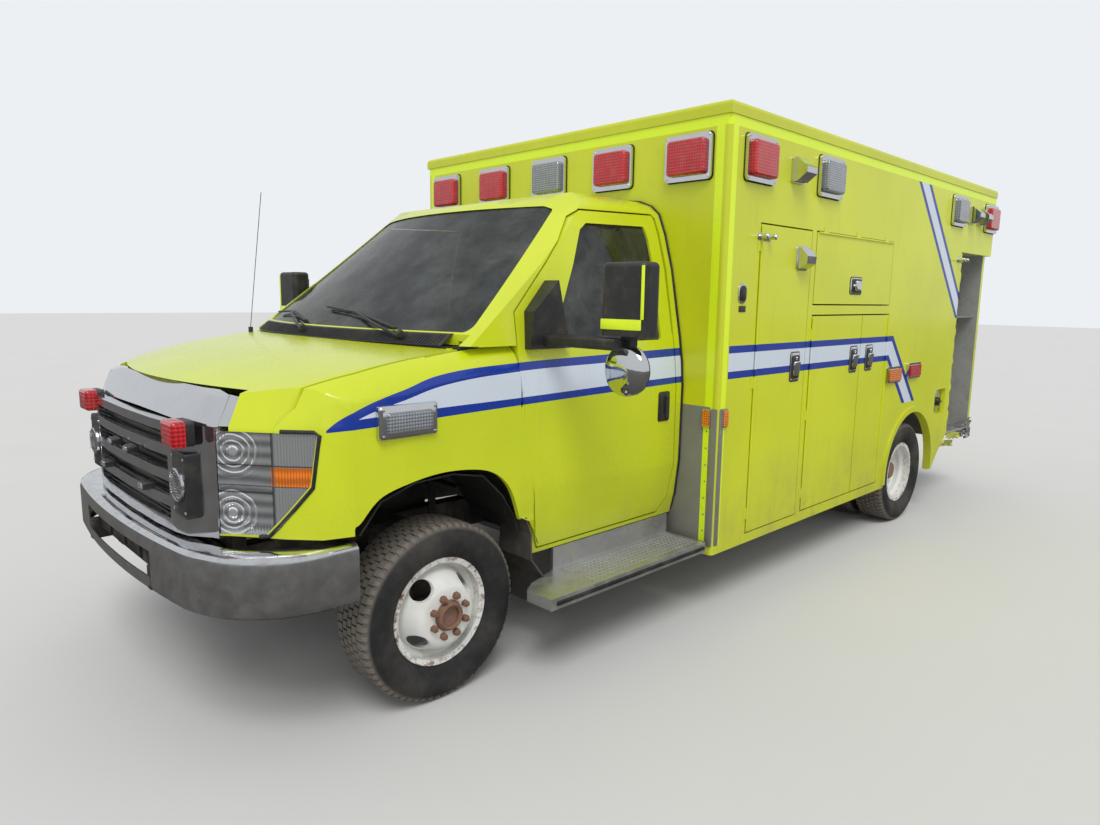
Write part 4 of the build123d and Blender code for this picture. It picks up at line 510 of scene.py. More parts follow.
def lens(name, base, ribs, clear=0.0):
    """Moulded lens: small prisms behind a glossy face, dust in patches."""
    shader = Shader(name)
    rows = (shader.z * ribs).sine()
    columns = ((shader.x + shader.y) * ribs).sine()
    prisms = rows * 0.5 + columns * 0.5
    # Prisms as darker and lighter copies of the lens colour, with some noise: painted light and shade; the
    # prisms also give the bump
    painted_light_and_shade = shader.ramp(prisms + shader.noise(25, 3) * 0.8, -0.5, 1.3)
    skin = shader.mix(painted_light_and_shade, shade(base, 0.45), shade(base, 1.25))
    dust = shader.blots(14, 6, 0.45, 0.8, roughness=0.7) * 0.25
    skin = shader.mix(dust, skin, (0.35, 0.31, 0.25))
    fixed = {"Coat Weight": 0.8, "Coat Roughness": 0.06, "IOR": 1.5}
    varied = {"Base Color": skin, "Roughness": 0.18 + dust}
    if clear:
        fixed["Metallic"] = clear
    return shader.finish(fixed, varied, prisms, 0.35, 0.002)


# Headlamp cover: its seams, and where its painted reflections, highlights and shade lie
LAMP_EDGE_X = 0.618
AMBER_LOW_Z = 0.962
AMBER_HIGH_Z = 1.030
BOWLS = [(0.706, 1.082), (0.712, 0.862)]
BOWL_STRETCH = 1.5
BOWL_EDGE = (0.075, 0.105)
BULB_GLINT_EDGE = (0.012, 0.022)
SHELF_Z = 0.938
BEND_Z = 1.034


def headlamp(name, amber):
    """Clear cover over two bowls, a plated corner and an amber marker; the bowls' rings, the bright spot in
    each bowl and the light and dark bands are painted reflections and shade that stand in for the
    reflector's depth.
    """
    shader = Shader(name)
    rings = None
    for bowl_x, bowl_z in BOWLS:
        across = (shader.x - bowl_x) * BOWL_STRETCH
        up = shader.z - bowl_z
        radius = (across * across + up * up) ** 0.5
        # Light and dark rings round each bowl: painted reflections, also used as bump
        ring = (radius * 300.0 + shader.noise(9, 3) * 7.0).sine()
        ring = ring * (1 - shader.ramp(radius, *BOWL_EDGE))
        # Bright spot in the middle of each bowl: painted highlight
        bulb_glint = 1 - shader.ramp(radius, *BULB_GLINT_EDGE)
        ring = ring.either(bulb_glint * 1.4)
        rings = ring if rings is None else rings + ring
    flutes = (shader.x * 900.0).sine()
    shelf = (shader.z * 150.0 + shader.noise(5, 4) * 3.0).sine()
    inner = shader.x > LAMP_EDGE_X
    # Tone from dark to bright out of rings, shelf bands and flutes: painted reflection and shade for the
    # reflector's depth
    painted_light_and_shade = inner * (rings * 0.5 + shelf * 0.25 + 0.35) + (1 - inner) * (0.55 + flutes * 0.10)
    skin = shader.mix(shader.ramp(painted_light_and_shade, -0.3, 1.1), (0.17, 0.18, 0.19), (0.92, 0.94, 0.96))
    marker = (shader.x < LAMP_EDGE_X + NEAR) * shader.z.between(AMBER_LOW_Z, AMBER_HIGH_Z)
    # Amber marker in darker and lighter copies of amber along flutes and shelf bands: painted light and
    # shade
    lit = shader.mix(shader.ramp(flutes + shelf, -0.8, 1.6), shade(amber, 0.55), shade(amber, 1.1))
    skin = shader.mix(marker, skin, lit)
    # Dark lines: seams at the plated corner and along the marker's lower edge, and painted shade along the
    # shelf and the bend
    line = (abs(shader.x - LAMP_EDGE_X) < 0.003).either(abs(shader.z - AMBER_LOW_Z) < 0.002)
    line = line.either((abs(shader.z - SHELF_Z) < 0.0035) * inner).either((abs(shader.z - BEND_Z) < 0.0025))
    skin = shader.mix(line * 0.75, skin, (0.05, 0.052, 0.055))
    haze = shader.blots(8, 6, 0.45, 0.85, roughness=0.7)
    skin = shader.mix(haze * 0.18, skin, (0.45, 0.42, 0.36))
    varied = {"Base Color": skin, "Roughness": 0.16 + haze * 0.15, "Metallic": 0.8 - marker * 0.8}
    fixed = {"Coat Weight": 1.0, "Coat Roughness": 0.03}
    return shader.finish(fixed, varied, rings + flutes * 0.4, 0.5, 0.004)


def cloth(name, base, weave=900):
    """Woven seat cloth or grained vinyl."""
    shader = Shader(name)
    warp = (shader.y * weave).sine()
    weft = ((shader.x + shader.z) * weave).sine()
    threads = warp * weft
    stain = shader.blots(5, 6, 0.4, 0.8, roughness=0.6)
    skin = shader.mix(threads * 0.5 + 0.5, shade(base, 0.8), shade(base, 1.15))
    skin = shader.mix(stain * 0.25, skin, shade(base, 0.5))
    varied = {"Base Color": skin, "Roughness": 0.8 + stain * 0.1}
    return shader.finish({"Sheen Weight": 0.3}, varied, threads, 0.3, 0.001)


MATERIALS = {}


def make_materials(settings):
    """Every finish, by name."""
    paint = settings.paint
    lamps = settings.lamps
    MATERIALS.update({
        "cab_paint": body_paint("cab_paint", paint, paint.cab, cab_stripes, gloss=0.24, wear=0.6),
        "module_paint": body_paint("module_paint", paint, paint.module, module_stripes, True, gloss=0.36),
        "roof_paint": body_paint("roof_paint", paint, shade(paint.module, 0.93), None, gloss=0.42),
        "rubber": rubber("tyre_rubber_worn"),
        "front_wheel": wheel_paint("front_wheel_paint", 0.0, 0.9835, 0.105),
        "rear_wheel": wheel_paint("rear_wheel_paint", REAR_AXLE_X, 9.0, 0.075),
        "chrome": chrome("chrome_plate"),
        "dull_chrome": chrome("chrome_dull", 0.2, 0.8),
        "black_steel": plain_finish("chassis_black_worn", (0.022, 0.021, 0.02), 0.55, dirty=0.75, bump=0.3),
        "rusty_steel": plain_finish("steel_rusty", (0.20, 0.15, 0.11), 0.55, 0.5, RUST, 0.85, bump=0.35),
        "aluminium": plain_finish("aluminium_tread", (0.52, 0.52, 0.51), 0.34, 0.85, dirty=0.6, grain=120),
        "grey_guard": plain_finish("stone_guard_grey", (0.24, 0.235, 0.21), 0.45, 0.35, dirty=0.4),
        "black_plastic": plain_finish("plastic_black", (0.018, 0.018, 0.019), 0.42, dirty=0.25, grain=300),
        "grey_plastic": plain_finish("plastic_grey", (0.16, 0.16, 0.155), 0.5, dirty=0.2, grain=300),
        "flap_rubber": plain_finish("flap_rubber", (0.060, 0.054, 0.047), 0.65, dirty=0.5, grain=120),
        "seal": plain_finish("rubber_seal", (0.012, 0.012, 0.013), 0.6, dirty=0.3, grain=200),
        "liner": plain_finish("compartment_liner", (0.42, 0.42, 0.40), 0.5, 0.3, dirty=0.6),
        "floor_sheet": plain_finish("floor_vinyl", (0.22, 0.23, 0.24), 0.45, dirty=0.5),
        "engine_metal": plain_finish("engine_cast", (0.15, 0.15, 0.15), 0.5, 0.6, dirty=0.7),
        "window": glass("window_glass_tinted", (0.012, 0.014, 0.014), alpha=0.80),
        "windscreen": glass("windscreen_glass", (0.02, 0.024, 0.024), alpha=0.55),
        "lamp_cover": headlamp("headlamp_clear", lamps.amber),
        "red_lens": lens("lens_red", lamps.red, 420),
        "amber_lens": lens("lens_amber", lamps.amber, 500),
        "clear_lens": lens("lens_clear", lamps.clear, 520, 0.35),
        "seat_cloth": cloth("seat_cloth_grey", (0.10, 0.10, 0.105)),
        "vinyl": cloth("cushion_vinyl_grey", (0.13, 0.15, 0.17), 400),
        "tape": plain_finish("tape_yellow", paint.tape, 0.35, dirty=0.25, contrast=0.05),
        "mirror_face": plain_finish("mirror_silver", (0.75, 0.77, 0.79), 0.04, 0.97, DIRT, 0.12, 60,
                                    0.01, 0.03),
    })


# Which finish each solid takes
NODE_FINISH = {
    "cab_paint": ["cab_shell", "cab_door_left", "cab_door_right", "hood", "front_fenders"],
    "module_paint": ["left_wall", "right_wall", "front_wall", "rear_wall", "tall_door", "flip_door",
                     "lower_door_front", "lower_door_rear", "curb_rear_door"],
    "roof_paint": ["module_roof"],
    "front_wheel": ["front_wheel_left", "front_wheel_right"],
    "rear_wheel": ["rear_wheels_left", "rear_wheels_right"],
    "chrome": ["front_bumper", "grille", "lamp_bezels"],
    "aluminium": ["running_boards", "rear_bumper"],
    "black_steel": ["chassis_frame", "front_beams", "rear_axle", "radiator", "fuel_tank", "knuckle_left",
                    "knuckle_right", "tie_rod", "drive_shaft", "springs"],
    "rusty_steel": ["exhaust"],
    "engine_metal": ["engine_block"],
    "black_plastic": ["cowl_panel", "mirror_left", "mirror_right", "splash_guards"],
    "grey_plastic": ["cab_floor", "dashboard"],
    "liner": ["compartments", "damaged_compartment"],
    "floor_sheet": ["module_floor"],
    "window": ["cab_glass_left", "cab_glass_right"],
    "windscreen": ["fixed_glass"],
    "seat_cloth": ["cab_seats"],
    "vinyl": ["squad_bench"],
    "lamp_cover": ["headlamps"],
    "rubber": ["front_tyre_left", "front_tyre_right", "rear_tyres_left", "rear_tyres_right"],
    "red_lens": ["lamp_lenses"],
}
FINISH_OF = {node: finish for finish, nodes in NODE_FINISH.items() for node in nodes}
SPLIT_DOORS = ("side_door", "rear_door_left", "rear_door_right")


# Mesh work
BEVEL_ANGLE = 0.5


class Shape:
    """Faces gathered for one piece, in the frame."""

    def __init__(self):
        self.bm = bmesh.new()

    def prism(self, outline, place, depth, bevel=0.0, steps=2):
        """Flat outline in local X and Y, as thick as depth along local Z, its edges rounded."""
        made = bmesh.new()
        base = [made.verts.new((x, y, 0)) for x, y in outline]
        made.faces.new(base)
        top = bmesh.ops.extrude_face_region(made, geom=made.faces[:])
        raised = [item for item in top["geom"] if isinstance(item, bmesh.types.BMVert)]
        bmesh.ops.translate(made, vec=(0, 0, depth), verts=raised)
        bmesh.ops.recalc_face_normals(made, faces=made.faces[:])
        if bevel:
            sharp = [edge for edge in made.edges if edge.calc_face_angle(0) > BEVEL_ANGLE]
            edges = [edge for edge in sharp if max(v.co.z for v in edge.verts) > depth * 0.5]
            bmesh.ops.bevel(made, geom=edges, offset=bevel, segments=steps, affect="EDGES", profile=0.5)
        self.take(made, place)
        return self

    def take(self, made, place=HERE):
        """Adds another bmesh at its place."""
        made.transform(place)
        mesh = bpy.data.meshes.new("part")
        made.to_mesh(mesh)
        made.free()
        self.bm.from_mesh(mesh)
        bpy.data.meshes.remove(mesh)

    def lathe(self, profile, place, steps=32):
        """Radius and height profile spun about local Z; ends on the axis are closed by it."""
        made = bmesh.new()
        line = [made.verts.new((radius, 0, height)) for radius, height in profile]
        edges = [made.edges.new(pair) for pair in zip(line, line[1:])]
        bmesh.ops.spin(made, geom=line + edges, cent=(0, 0, 0), axis=(0, 0, 1), angle=math.tau, steps=steps)
        bmesh.ops.remove_doubles(made, verts=made.verts[:], dist=1e-6)
        bmesh.ops.recalc_face_normals(made, faces=made.faces[:])
        self.take(made, place)
        return self

    def tube(self, points, radius, sides=8):
        """Round bar through points, its ends closed."""
        rings = []
        points = [Vector(point) for point in points]
        for index, point in enumerate(points):
            before = points[max(0, index - 1)]
            after = points[min(len(points) - 1, index + 1)]
            along = (after - before).normalized()
            side = side - along * side.dot(along) if rings else along.orthogonal()
            side.normalize()
            up = along.cross(side)
            turn = [math.tau * step / sides for step in range(sides)]
            rings.append([point + (side * math.cos(a) + up * math.sin(a)) * radius for a in turn])
        self.take(loft(rings))
        return self

    def repeat(self, unit, place, finish, **values):
        """Adds a unit set out by the repeat tree."""
        made = set_out(unit, finish, **values)
        made.transform(place)
        self.bm.from_mesh(made)
        bpy.data.meshes.remove(made)

    def four(self, unit, place, finish, wide, high):
        """A unit at each corner of a rectangle about the place."""
        start = moved(place, -wide / 2, -high / 2, 0)
        rows = {"Rows": 2, "Row Offset": (0, high, 0)}
        self.repeat(unit, start, finish, Count=2, Offset=(wide, 0, 0), **rows)

    def piece(self, name, finish, body, slot, angle=0.6):
        """The gathered faces as one object that rides on a body."""
        return add_piece(name, mesh_of(self.bm, name, angle), finish, body, slot)


def loft(rings):
    """Closed skin through rings of points."""
    made = bmesh.new()
    rings = [[made.verts.new(point) for point in ring] for ring in rings]
    count = len(rings[0])
    for near, far in zip(rings, rings[1:]):
        for k in range(count):
            other = (k + 1) % count
            made.faces.new((near[k], near[other], far[other], far[k]))
    made.faces.new(rings[0])
    made.faces.new(rings[-1][::-1])
    bmesh.ops.recalc_face_normals(made, faces=made.faces[:])
    return made


def cutter_prism(bm, outline, place, depth):
    """Adds a closed prism to a cutter."""
    low, high = ([bm.verts.new(place @ Vector((x, y, z))) for x, y in outline] for z in (0, depth))
    count = len(outline)
    for k in range(count):
        other = (k + 1) % count
        bm.faces.new((low[k], low[other], high[other], high[k]))
    bm.faces.new(low[::-1])
    bm.faces.new(high)
    bmesh.ops.recalc_face_normals(bm, faces=bm.faces[:])


def cut_away(bm, cutter):
    """Takes one closed bmesh from another."""
    holders = []
    for item in (bm, cutter):
        mesh = bpy.data.meshes.new("cut")
        item.to_mesh(mesh)
        item.free()
        holders.append(linked("cut", mesh))
    knife = holders[0].modifiers.new("cut", "BOOLEAN")
    knife.operation = "DIFFERENCE"
    knife.solver = "EXACT"
    knife.object = holders[1]
    made = evaluated_mesh(holders[0])
    result = bmesh.new()
    result.from_mesh(made)
    for holder in holders:
        bpy.data.objects.remove(holder)
    bpy.data.meshes.remove(made)
    return result


def linked(name, data):
    """New object in the scene."""
    item = bpy.data.objects.new(name, data)
    bpy.context.scene.collection.objects.link(item)
    return item


def evaluated_mesh(holder):
    """Plain mesh of an object as its modifiers leave it."""
    ready = holder.evaluated_get(bpy.context.evaluated_depsgraph_get())
    return bpy.data.meshes.new_from_object(ready)


def mesh_of(bm, name, angle):
    """Mesh of a bmesh that isn't needed any more, smooth but for edges past an angle."""
    smooth_edges(bm, angle)
    mesh = bpy.data.meshes.new(name)
    bm.to_mesh(mesh)
    bm.free()
    return mesh


def rim_cells(steps):
    """Cells round the edge of a square grid, in order."""
    ahead, back = range(1, steps + 1), range(steps - 1, -1, -1)
    cells = [(0, k) for k in range(steps + 1)] + [(k, steps) for k in ahead]
    return cells + [(steps, k) for k in back] + [(k, 0) for k in back[:-1]]


def smooth_edges(bm, angle):
    """Smooth faces, with sharp edges past an angle."""
    for face in bm.faces:
        face.smooth = True
    for edge in bm.edges:
        edge.smooth = edge.calc_face_angle(0) < angle


def add_piece(name, mesh, finish, body, slot):
    """Links a mesh as a piece with its finish, on its body; slot is not used."""
    mesh.materials.clear()
    mesh.materials.append(MATERIALS[finish])
    piece = linked(name, mesh)
    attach(piece, body)
    return piece


def rounded(wide, high, radius, steps=5):
    """Outline of a rounded rectangle about the origin."""
    points = []
    for index, (sx, sy) in enumerate(((1, 1), (-1, 1), (-1, -1), (1, -1))):
        cx, cy = sx * (wide / 2 - radius), sy * (high / 2 - radius)
        for step in range(steps + 1):
            a = math.pi / 2 * (index + step / steps)
            points.append((cx + radius * math.cos(a), cy + radius * math.sin(a)))
    return points


def merged_copy(node):
    """Joined faces of a node's mesh, for a piece that stands for it."""
    bm = bmesh.new()
    bm.from_mesh(NODES[node].data)
    bmesh.ops.remove_doubles(bm, verts=bm.verts[:], dist=2e-6)
    return bm


def islands(bm):
    """Groups of faces that hang together."""
    left = set(bm.faces)
    while left:
        start = left.pop()
        group, open_faces = {start}, [start]
        while open_faces:
            face = open_faces.pop()
            for edge in face.edges:
                for other in edge.link_faces:
                    if other in left:
                        left.discard(other)
                        group.add(other)
                        open_faces.append(other)
        yield group


SPLIT_ANGLE = 0.5


def split_node(node, sort, finishes, body, slots):
    """Pieces that stand for one node, its solids sorted by where they are."""
    bm = merged_copy(node)
    groups = {}
    for group in list(islands(bm)):
        corners = [v.co for face in group for v in face.verts]
        low = Vector(map(min, zip(*corners)))
        high = Vector(map(max, zip(*corners)))
        groups.setdefault(sort(low, high), []).append(group)
    bm.faces.index_update()
    wanted = {key: {face.index for group in found for face in group} for key, found in groups.items()}
    for key in sorted(wanted):
        part = bm.copy()
        part.faces.ensure_lookup_table()
        gone = [face for face in part.faces if face.index not in wanted[key]]
        bmesh.ops.delete(part, geom=gone, context="FACES")
        name = f"{node}_{key}"
        piece = add_piece(name, mesh_of(part, name, SPLIT_ANGLE), finishes[key], body, slots[key])
        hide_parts(node)
    bm.free()


# Rows and rings, set out by one tree of nodes
REPEAT_VALUES = {
    "Count": ("NodeSocketInt", 1),
    "Offset": ("NodeSocketVector", (0, 0, 0)),
    "Turn": ("NodeSocketFloat", 0.0),
    "Rows": ("NodeSocketInt", 1),
    "Row Offset": ("NodeSocketVector", (0, 0, 0)),
    "Uneven": ("NodeSocketFloat", 0.0),
    "Seed": ("NodeSocketInt", SEED),
    "Material": ("NodeSocketMaterial", None),
}


def repeat_tree():
    """Tree that repeats a mesh along a line or round Z, and that line in rows."""
    tree = bpy.data.node_groups.get("repeat")
    if tree:
        return tree
    tree = bpy.data.node_groups.new("repeat", "GeometryNodeTree")
    tree.interface.new_socket("Geometry", in_out="INPUT", socket_type="NodeSocketGeometry")
    for name, (kind, value) in REPEAT_VALUES.items():
        socket = tree.interface.new_socket(name, in_out="INPUT", socket_type=kind)
        if value is not None:
            socket.default_value = value
    tree.interface.new_socket("Geometry", in_out="OUTPUT", socket_type="NodeSocketGeometry")
    nodes, link = tree.nodes, tree.links.new
    given = nodes.new("NodeGroupInput").outputs
    turned = nodes.new("ShaderNodeMath")
    turned.operation = "MULTIPLY"
    link(nodes.new("GeometryNodeInputIndex").outputs[0], turned.inputs[0])
    link(given["Turn"], turned.inputs[1])
    around = nodes.new("ShaderNodeCombineXYZ")
    link(turned.outputs[0], around.inputs["Z"])
    size = nodes.new("FunctionNodeRandomValue")
    low = nodes.new("ShaderNodeMath")
    low.operation = "SUBTRACT"
    low.inputs[0].default_value = 1.0
    link(given["Uneven"], low.inputs[1])
    link(low.outputs[0], size.inputs[2])
    size.inputs[3].default_value = 1.0
    link(given["Seed"], size.inputs["Seed"])
    line = nodes.new("GeometryNodeMeshLine")
    link(given["Count"], line.inputs["Count"])
    link(given["Offset"], line.inputs["Offset"])
    copies = nodes.new("GeometryNodeInstanceOnPoints")
    link(line.outputs[0], copies.inputs["Points"])
    link(given["Geometry"], copies.inputs["Instance"])
    link(around.outputs[0], copies.inputs["Rotation"])
    link(size.outputs[1], copies.inputs["Scale"])
    rows = nodes.new("GeometryNodeMeshLine")
    link(given["Rows"], rows.inputs["Count"])
    link(given["Row Offset"], rows.inputs["Offset"])
    spread = nodes.new("GeometryNodeInstanceOnPoints")
    link(rows.outputs[0], spread.inputs["Points"])
    link(copies.outputs[0], spread.inputs["Instance"])
    real = nodes.new("GeometryNodeRealizeInstances")
    link(spread.outputs[0], real.inputs[0])
    dressed = nodes.new("GeometryNodeSetMaterial")
    link(real.outputs[0], dressed.inputs["Geometry"])
    link(given["Material"], dressed.inputs["Material"])
    link(dressed.outputs[0], nodes.new("NodeGroupOutput").inputs[0])
    return tree


def set_out(unit, finish, **values):
    """Mesh of a unit shape repeated by the tree."""
    mesh = bpy.data.meshes.new("unit")
    unit.bm.to_mesh(mesh)
    unit.bm.free()
    holder = linked("unit", mesh)
    modifier = holder.modifiers.new("repeat", "NODES")
    tree = repeat_tree()
    modifier.node_group = tree
    for item in tree.interface.items_tree:
        if item.in_out == "INPUT" and item.name in values:
            modifier[item.identifier] = values[item.name]
        if item.in_out == "INPUT" and item.name == "Material":
            modifier[item.identifier] = MATERIALS[finish]
    made = evaluated_mesh(holder)
    bpy.data.objects.remove(holder)
    bpy.data.meshes.remove(mesh)
    return made


def box_outline(wide, high):
    """Corners of a rectangle about the origin."""
    return [(-wide / 2, -high / 2), (wide / 2, -high / 2), (wide / 2, high / 2), (-wide / 2, high / 2)]


def ring_outline(radius, steps=24):
    """Circle about the origin."""
    around = [math.tau * step / steps for step in range(steps)]
    return [(radius * math.cos(a), radius * math.sin(a)) for a in around]


def surface_of(nodes):
    """Search tree over the faces of some nodes."""
    bm = bmesh.new()
    for node in nodes:
        bm.from_mesh(NODES[node].data)
    tree = BVHTree.FromBMesh(bm)
    bm.free()
    return tree


def on_surface(tree, side, x, z, proud=0.0):
    """Point of the left or right flank at x and z, moved outwards, or None where nothing is."""
    sign = SIDES[side]
    hit, normal, index, distance = tree.ray_cast(at(x, sign * 1.4, z), Vector((0, -sign, 0)))
    if hit is None:
        return None
    outward = normal if normal.y * sign >= 0 else -normal
    return hit + outward * proud


# Tyres: carcass, ribs of blocks and shoulder blocks
RIM_RADIUS = 0.220
RIM_WIDTH = 0.172
TYRE_RADIUS = AXLE_Z
TYRE_HALF = 0.1125
BLOCKS = 64
BLOCK_SHARE = 0.80
RIBS = [(-0.084, -0.053), (-0.046, -0.019), (-0.0135, 0.0135), (0.019, 0.046), (0.053, 0.084)]
SHOULDER_SHARE = 0.55
FRONT_WHEEL_Y = 0.85
TYRES = {
    "front_tyre": ("front_wheel", 0.0, (FRONT_WHEEL_Y,)),
    "rear_tyres": ("rear_wheels", REAR_AXLE_X, (1.082, 0.820)),
}


def crown_radius(y):
    """Radius of the tread's face across its width."""
    return TYRE_RADIUS - 0.003 * (y / 0.086) ** 2 - 0.0004


def arc_points(start, middle, end, steps):
    """Points along the arc through three places in a plane."""
    (x0, y0), (x1, y1), (x2, y2) = start, middle, end
    turn = 2 * (x0 * (y1 - y2) + x1 * (y2 - y0) + x2 * (y0 - y1))
    s0, s1, s2 = x0 * x0 + y0 * y0, x1 * x1 + y1 * y1, x2 * x2 + y2 * y2
    cx = (s0 * (y1 - y2) + s1 * (y2 - y0) + s2 * (y0 - y1)) / turn
    cy = (s0 * (x2 - x1) + s1 * (x0 - x2) + s2 * (x1 - x0)) / turn
    radius = math.hypot(x0 - cx, y0 - cy)
    first = math.atan2(y0 - cy, x0 - cx)
    mid = math.atan2(y1 - cy, x1 - cx)
    last = math.atan2(y2 - cy, x2 - cx)
    sweep = (last - first) % math.tau
    if (mid - first) % math.tau > sweep:
        sweep -= math.tau
    around = [first + sweep * k / steps for k in range(steps + 1)]
    return [(cx + radius * math.cos(a), cy + radius * math.sin(a)) for a in around]


def tyre_profile(depth):
    """Half section of the carcass from bead to tread, radius against width."""
    bead = (RIM_RADIUS - 0.014, RIM_WIDTH / 2 - 0.011)
    flange = (RIM_RADIUS + 0.001, RIM_WIDTH / 2 - 0.0083)
    belly = ((RIM_RADIUS + TYRE_RADIUS) / 2 - 0.008, TYRE_HALF)
    shoulder = (TYRE_RADIUS - 0.022, TYRE_HALF - 0.008)
    edge = (TYRE_RADIUS - 0.003 - depth, TYRE_HALF - 0.027)
    flank = arc_points(flange, belly, shoulder, 14)
    # A raised rim guard ring on the flank
    flank = [(radius, width + (0.0015 if 0.236 < radius < 0.244 else 0.0)) for radius, width in flank]
    return [bead] + flank + [edge]


def along_turn(outline, length):
    """Prism over radius and width, its length along the tyre's turn."""
    place = Matrix(((1, 0, 0, 0), (0, 0, -1, length / 2), (0, 1, 0, 0), (0, 0, 0, 1)))
    return Shape().prism(outline, place, length)


def block_unit(low_y, high_y, length):
    """One tread block."""
    inner = TYRE_RADIUS - 0.014
    face = [(crown_radius(y), y) for y in (low_y, (low_y + high_y) / 2, high_y)]
    outline = [(inner, low_y)] + face + [(inner, high_y)]
    return along_turn(outline, length)


def shoulder_unit(sign, length):
    """Lug that runs from the tread's edge down the shoulder."""
    outline = [(TYRE_RADIUS - 0.016, sign * 0.080), (crown_radius(0.0845), sign * 0.0845),
               (TYRE_RADIUS - 0.0075, sign * 0.0955), (TYRE_RADIUS - 0.020, sign * 0.1035),
               (TYRE_RADIUS - 0.034, sign * 0.1065), (TYRE_RADIUS - 0.036, sign * 0.098)]
    return along_turn(outline, length)


def make_tyre(settings, shape, x, y):
    """Carcass and blocks of one tyre."""
    place = facing("left", x, y, TYRE_RADIUS)
    half = tyre_profile(settings.depth)
    mirrored = [(radius, -width) for radius, width in reversed(half)]
    shape.lathe(half + mirrored + half[:1], place, settings.steps)
    pitch = math.tau * TYRE_RADIUS / BLOCKS
    turn = math.tau / BLOCKS
    for index, (low_y, high_y) in enumerate(RIBS):
        skew = Matrix.Rotation(turn * (0.5 if index % 2 else 0.0), 4, "Z")
        unit = block_unit(low_y, high_y, pitch * BLOCK_SHARE)
        shape.repeat(unit, place @ skew, "rubber", Count=BLOCKS, Turn=turn)
    for sign in SIDES.values():
        unit = shoulder_unit(sign, pitch * SHOULDER_SHARE)
        shape.repeat(unit, place, "rubber", Count=BLOCKS, Turn=turn)


class AMBULANCE_OT_tyres(bpy.types.Operator):
    """Tyres with worn tread, in place of the plain ones"""

    bl_idname = "ambulance.tyres"
    bl_label = "Tyres"

    def execute(self, context):
        settings = context.scene.ambulance.tyres
        for tyre, (wheel, x, ys) in TYRES.items():
            for side, sign in SIDES.items():
                node = f"{tyre}_{side}"
                shape = Shape()
                for y in ys:
                    make_tyre(settings, shape, x, sign * y)
                piece = shape.piece(f"{node}_tread", "rubber", f"{wheel}_{side}", "tyre_rubber", 0.7)
                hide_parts(node)
        return {"FINISHED"}


# Painted sheet: the same solids with their edges joined and their curves shaded smooth
SHEET_NODES = {
    "cab_shell": ("body", "yellow_paint"),
    "front_fenders": ("body", "yellow_paint"),
    "hood": ("hood", "yellow_paint"),
    "cab_door_left": ("cab_door_left", "yellow_paint"),
    "cab_door_right": ("cab_door_right", "yellow_paint"),
    "grille": ("body", "chrome"),
    "mirror_left": ("cab_door_left", "black_plastic"),
    "mirror_right": ("cab_door_right", "black_plastic"),
    "headlamps": ("body", "lamp_glass"),
}
SHEET_ANGLE = 0.62


ARCH_LINE = [(0.404, 0.700), (0.404, 0.800), (0.380, 0.8229), (0.294, 0.905), (0.130, 0.947),
             (-0.036, 0.953),
             (-0.200, 0.922), (-0.300, 0.840), (-0.356, 0.700), (-0.3605, 0.660)]


def through(points, steps=8):
    """Smooth line through a row of points."""
    line = []
    for four in zip(points, points[1:], points[2:], points[3:]):
        a, b, c, d = map(Vector, four)
        for step in range(steps):
            t = step / steps
            square, cube = 2 * a - 5 * b + 4 * c - d, 3 * b - a - 3 * c + d
            line.append(tuple(0.5 * (2 * b + (c - a) * t + square * t ** 2 + cube * t ** 3)))
    return line + [tuple(points[-2])]


ARCH_LOW_Z = 0.60
ARCH_PLACES = (0.90, -1.10)
ARCH_DEPTH = 0.20


def arch_cutter():
    """Wheel openings of both fenders with a smooth edge."""
    cutter = bmesh.new()
    line = through(ARCH_LINE)
    outline = [(line[0][0], ARCH_LOW_Z)] + line + [(line[-1][0], ARCH_LOW_Z)]
    for y in ARCH_PLACES:
        place = facing("left", 0, y, 0)
        flat = [((place.inverted() @ at(x, 0, z)).x, z) for x, z in outline]
        cutter_prism(cutter, flat, place, ARCH_DEPTH)
    return cutter


class AMBULANCE_OT_sheet(bpy.types.Operator):
    """Smooth shading over the cab's pressed panels"""

    bl_idname = "ambulance.sheet"
    bl_label = "Pressed panels"

    def execute(self, context):
        for node, (body, slot) in SHEET_NODES.items():
            bm = merged_copy(node)
            if node == "front_fenders":
                bm = cut_away(bm, arch_cutter())
            name = f"{node}_sheet"
            piece = add_piece(name, mesh_of(bm, name, SHEET_ANGLE), FINISH_OF[node], body, slot)
            even = piece.modifiers.new("even", "WEIGHTED_NORMAL")
            even.keep_sharp = True
            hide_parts(node)
        return {"FINISHED"}


# Front: red lights, sirens, small lights, slats, lamp gaskets, plate recess
GRILLE_LIGHT = (0.815, 0.553, 1.138)
SIREN = (0.812, 0.533, 0.952)
SLAT_COUNT = 17
SLAT_X = 0.812
SLAT_STEP = 0.0188
SMALL_LIGHTS = [(0.862, 0.105, 1.018), (0.856, 0.250, 0.900)]
RECESS_PLATE = (0.872, 0.0, 0.645)
LAMP_GASKET = [(0.655, 0.781), (0.633, 0.785), (0.610, 0.822), (0.570, 0.890), (0.527, 0.963),
               (0.518, 1.05), (0.508, 1.145), (0.520, 1.156), (0.60, 1.156), (0.68, 1.156)]


def siren(shape, horn, sign):
    """Square speaker with a round horn behind bars."""
    x, y, z = SIREN
    y *= sign
    shape.prism(rounded(0.136, 0.236, 0.012), facing("front", x - 0.04, y, z), 0.060, 0.006)
    mouth = [(0.060, 0.0), (0.060, 0.010), (0.054, 0.012), (0.050, 0.004), (0.030, -0.004),
             (0.012, 0.006), (0.0, 0.010)]
    horn.lathe(mouth, facing("front", x + 0.021, y, z), 40)
    bar = Shape().prism(box_outline(0.100, 0.0035), HERE, 0.004)
    horn.repeat(bar, facing("front", x + 0.031, y, z - 0.036), "dull_chrome", Count=9, Offset=(0, 0.009, 0))
    screw = Shape().prism(ring_outline(0.006, 10), HERE, 0.003, 0.001)
    horn.four(screw, facing("front", x + 0.020, y, z), "dull_chrome", 0.11, 0.19)


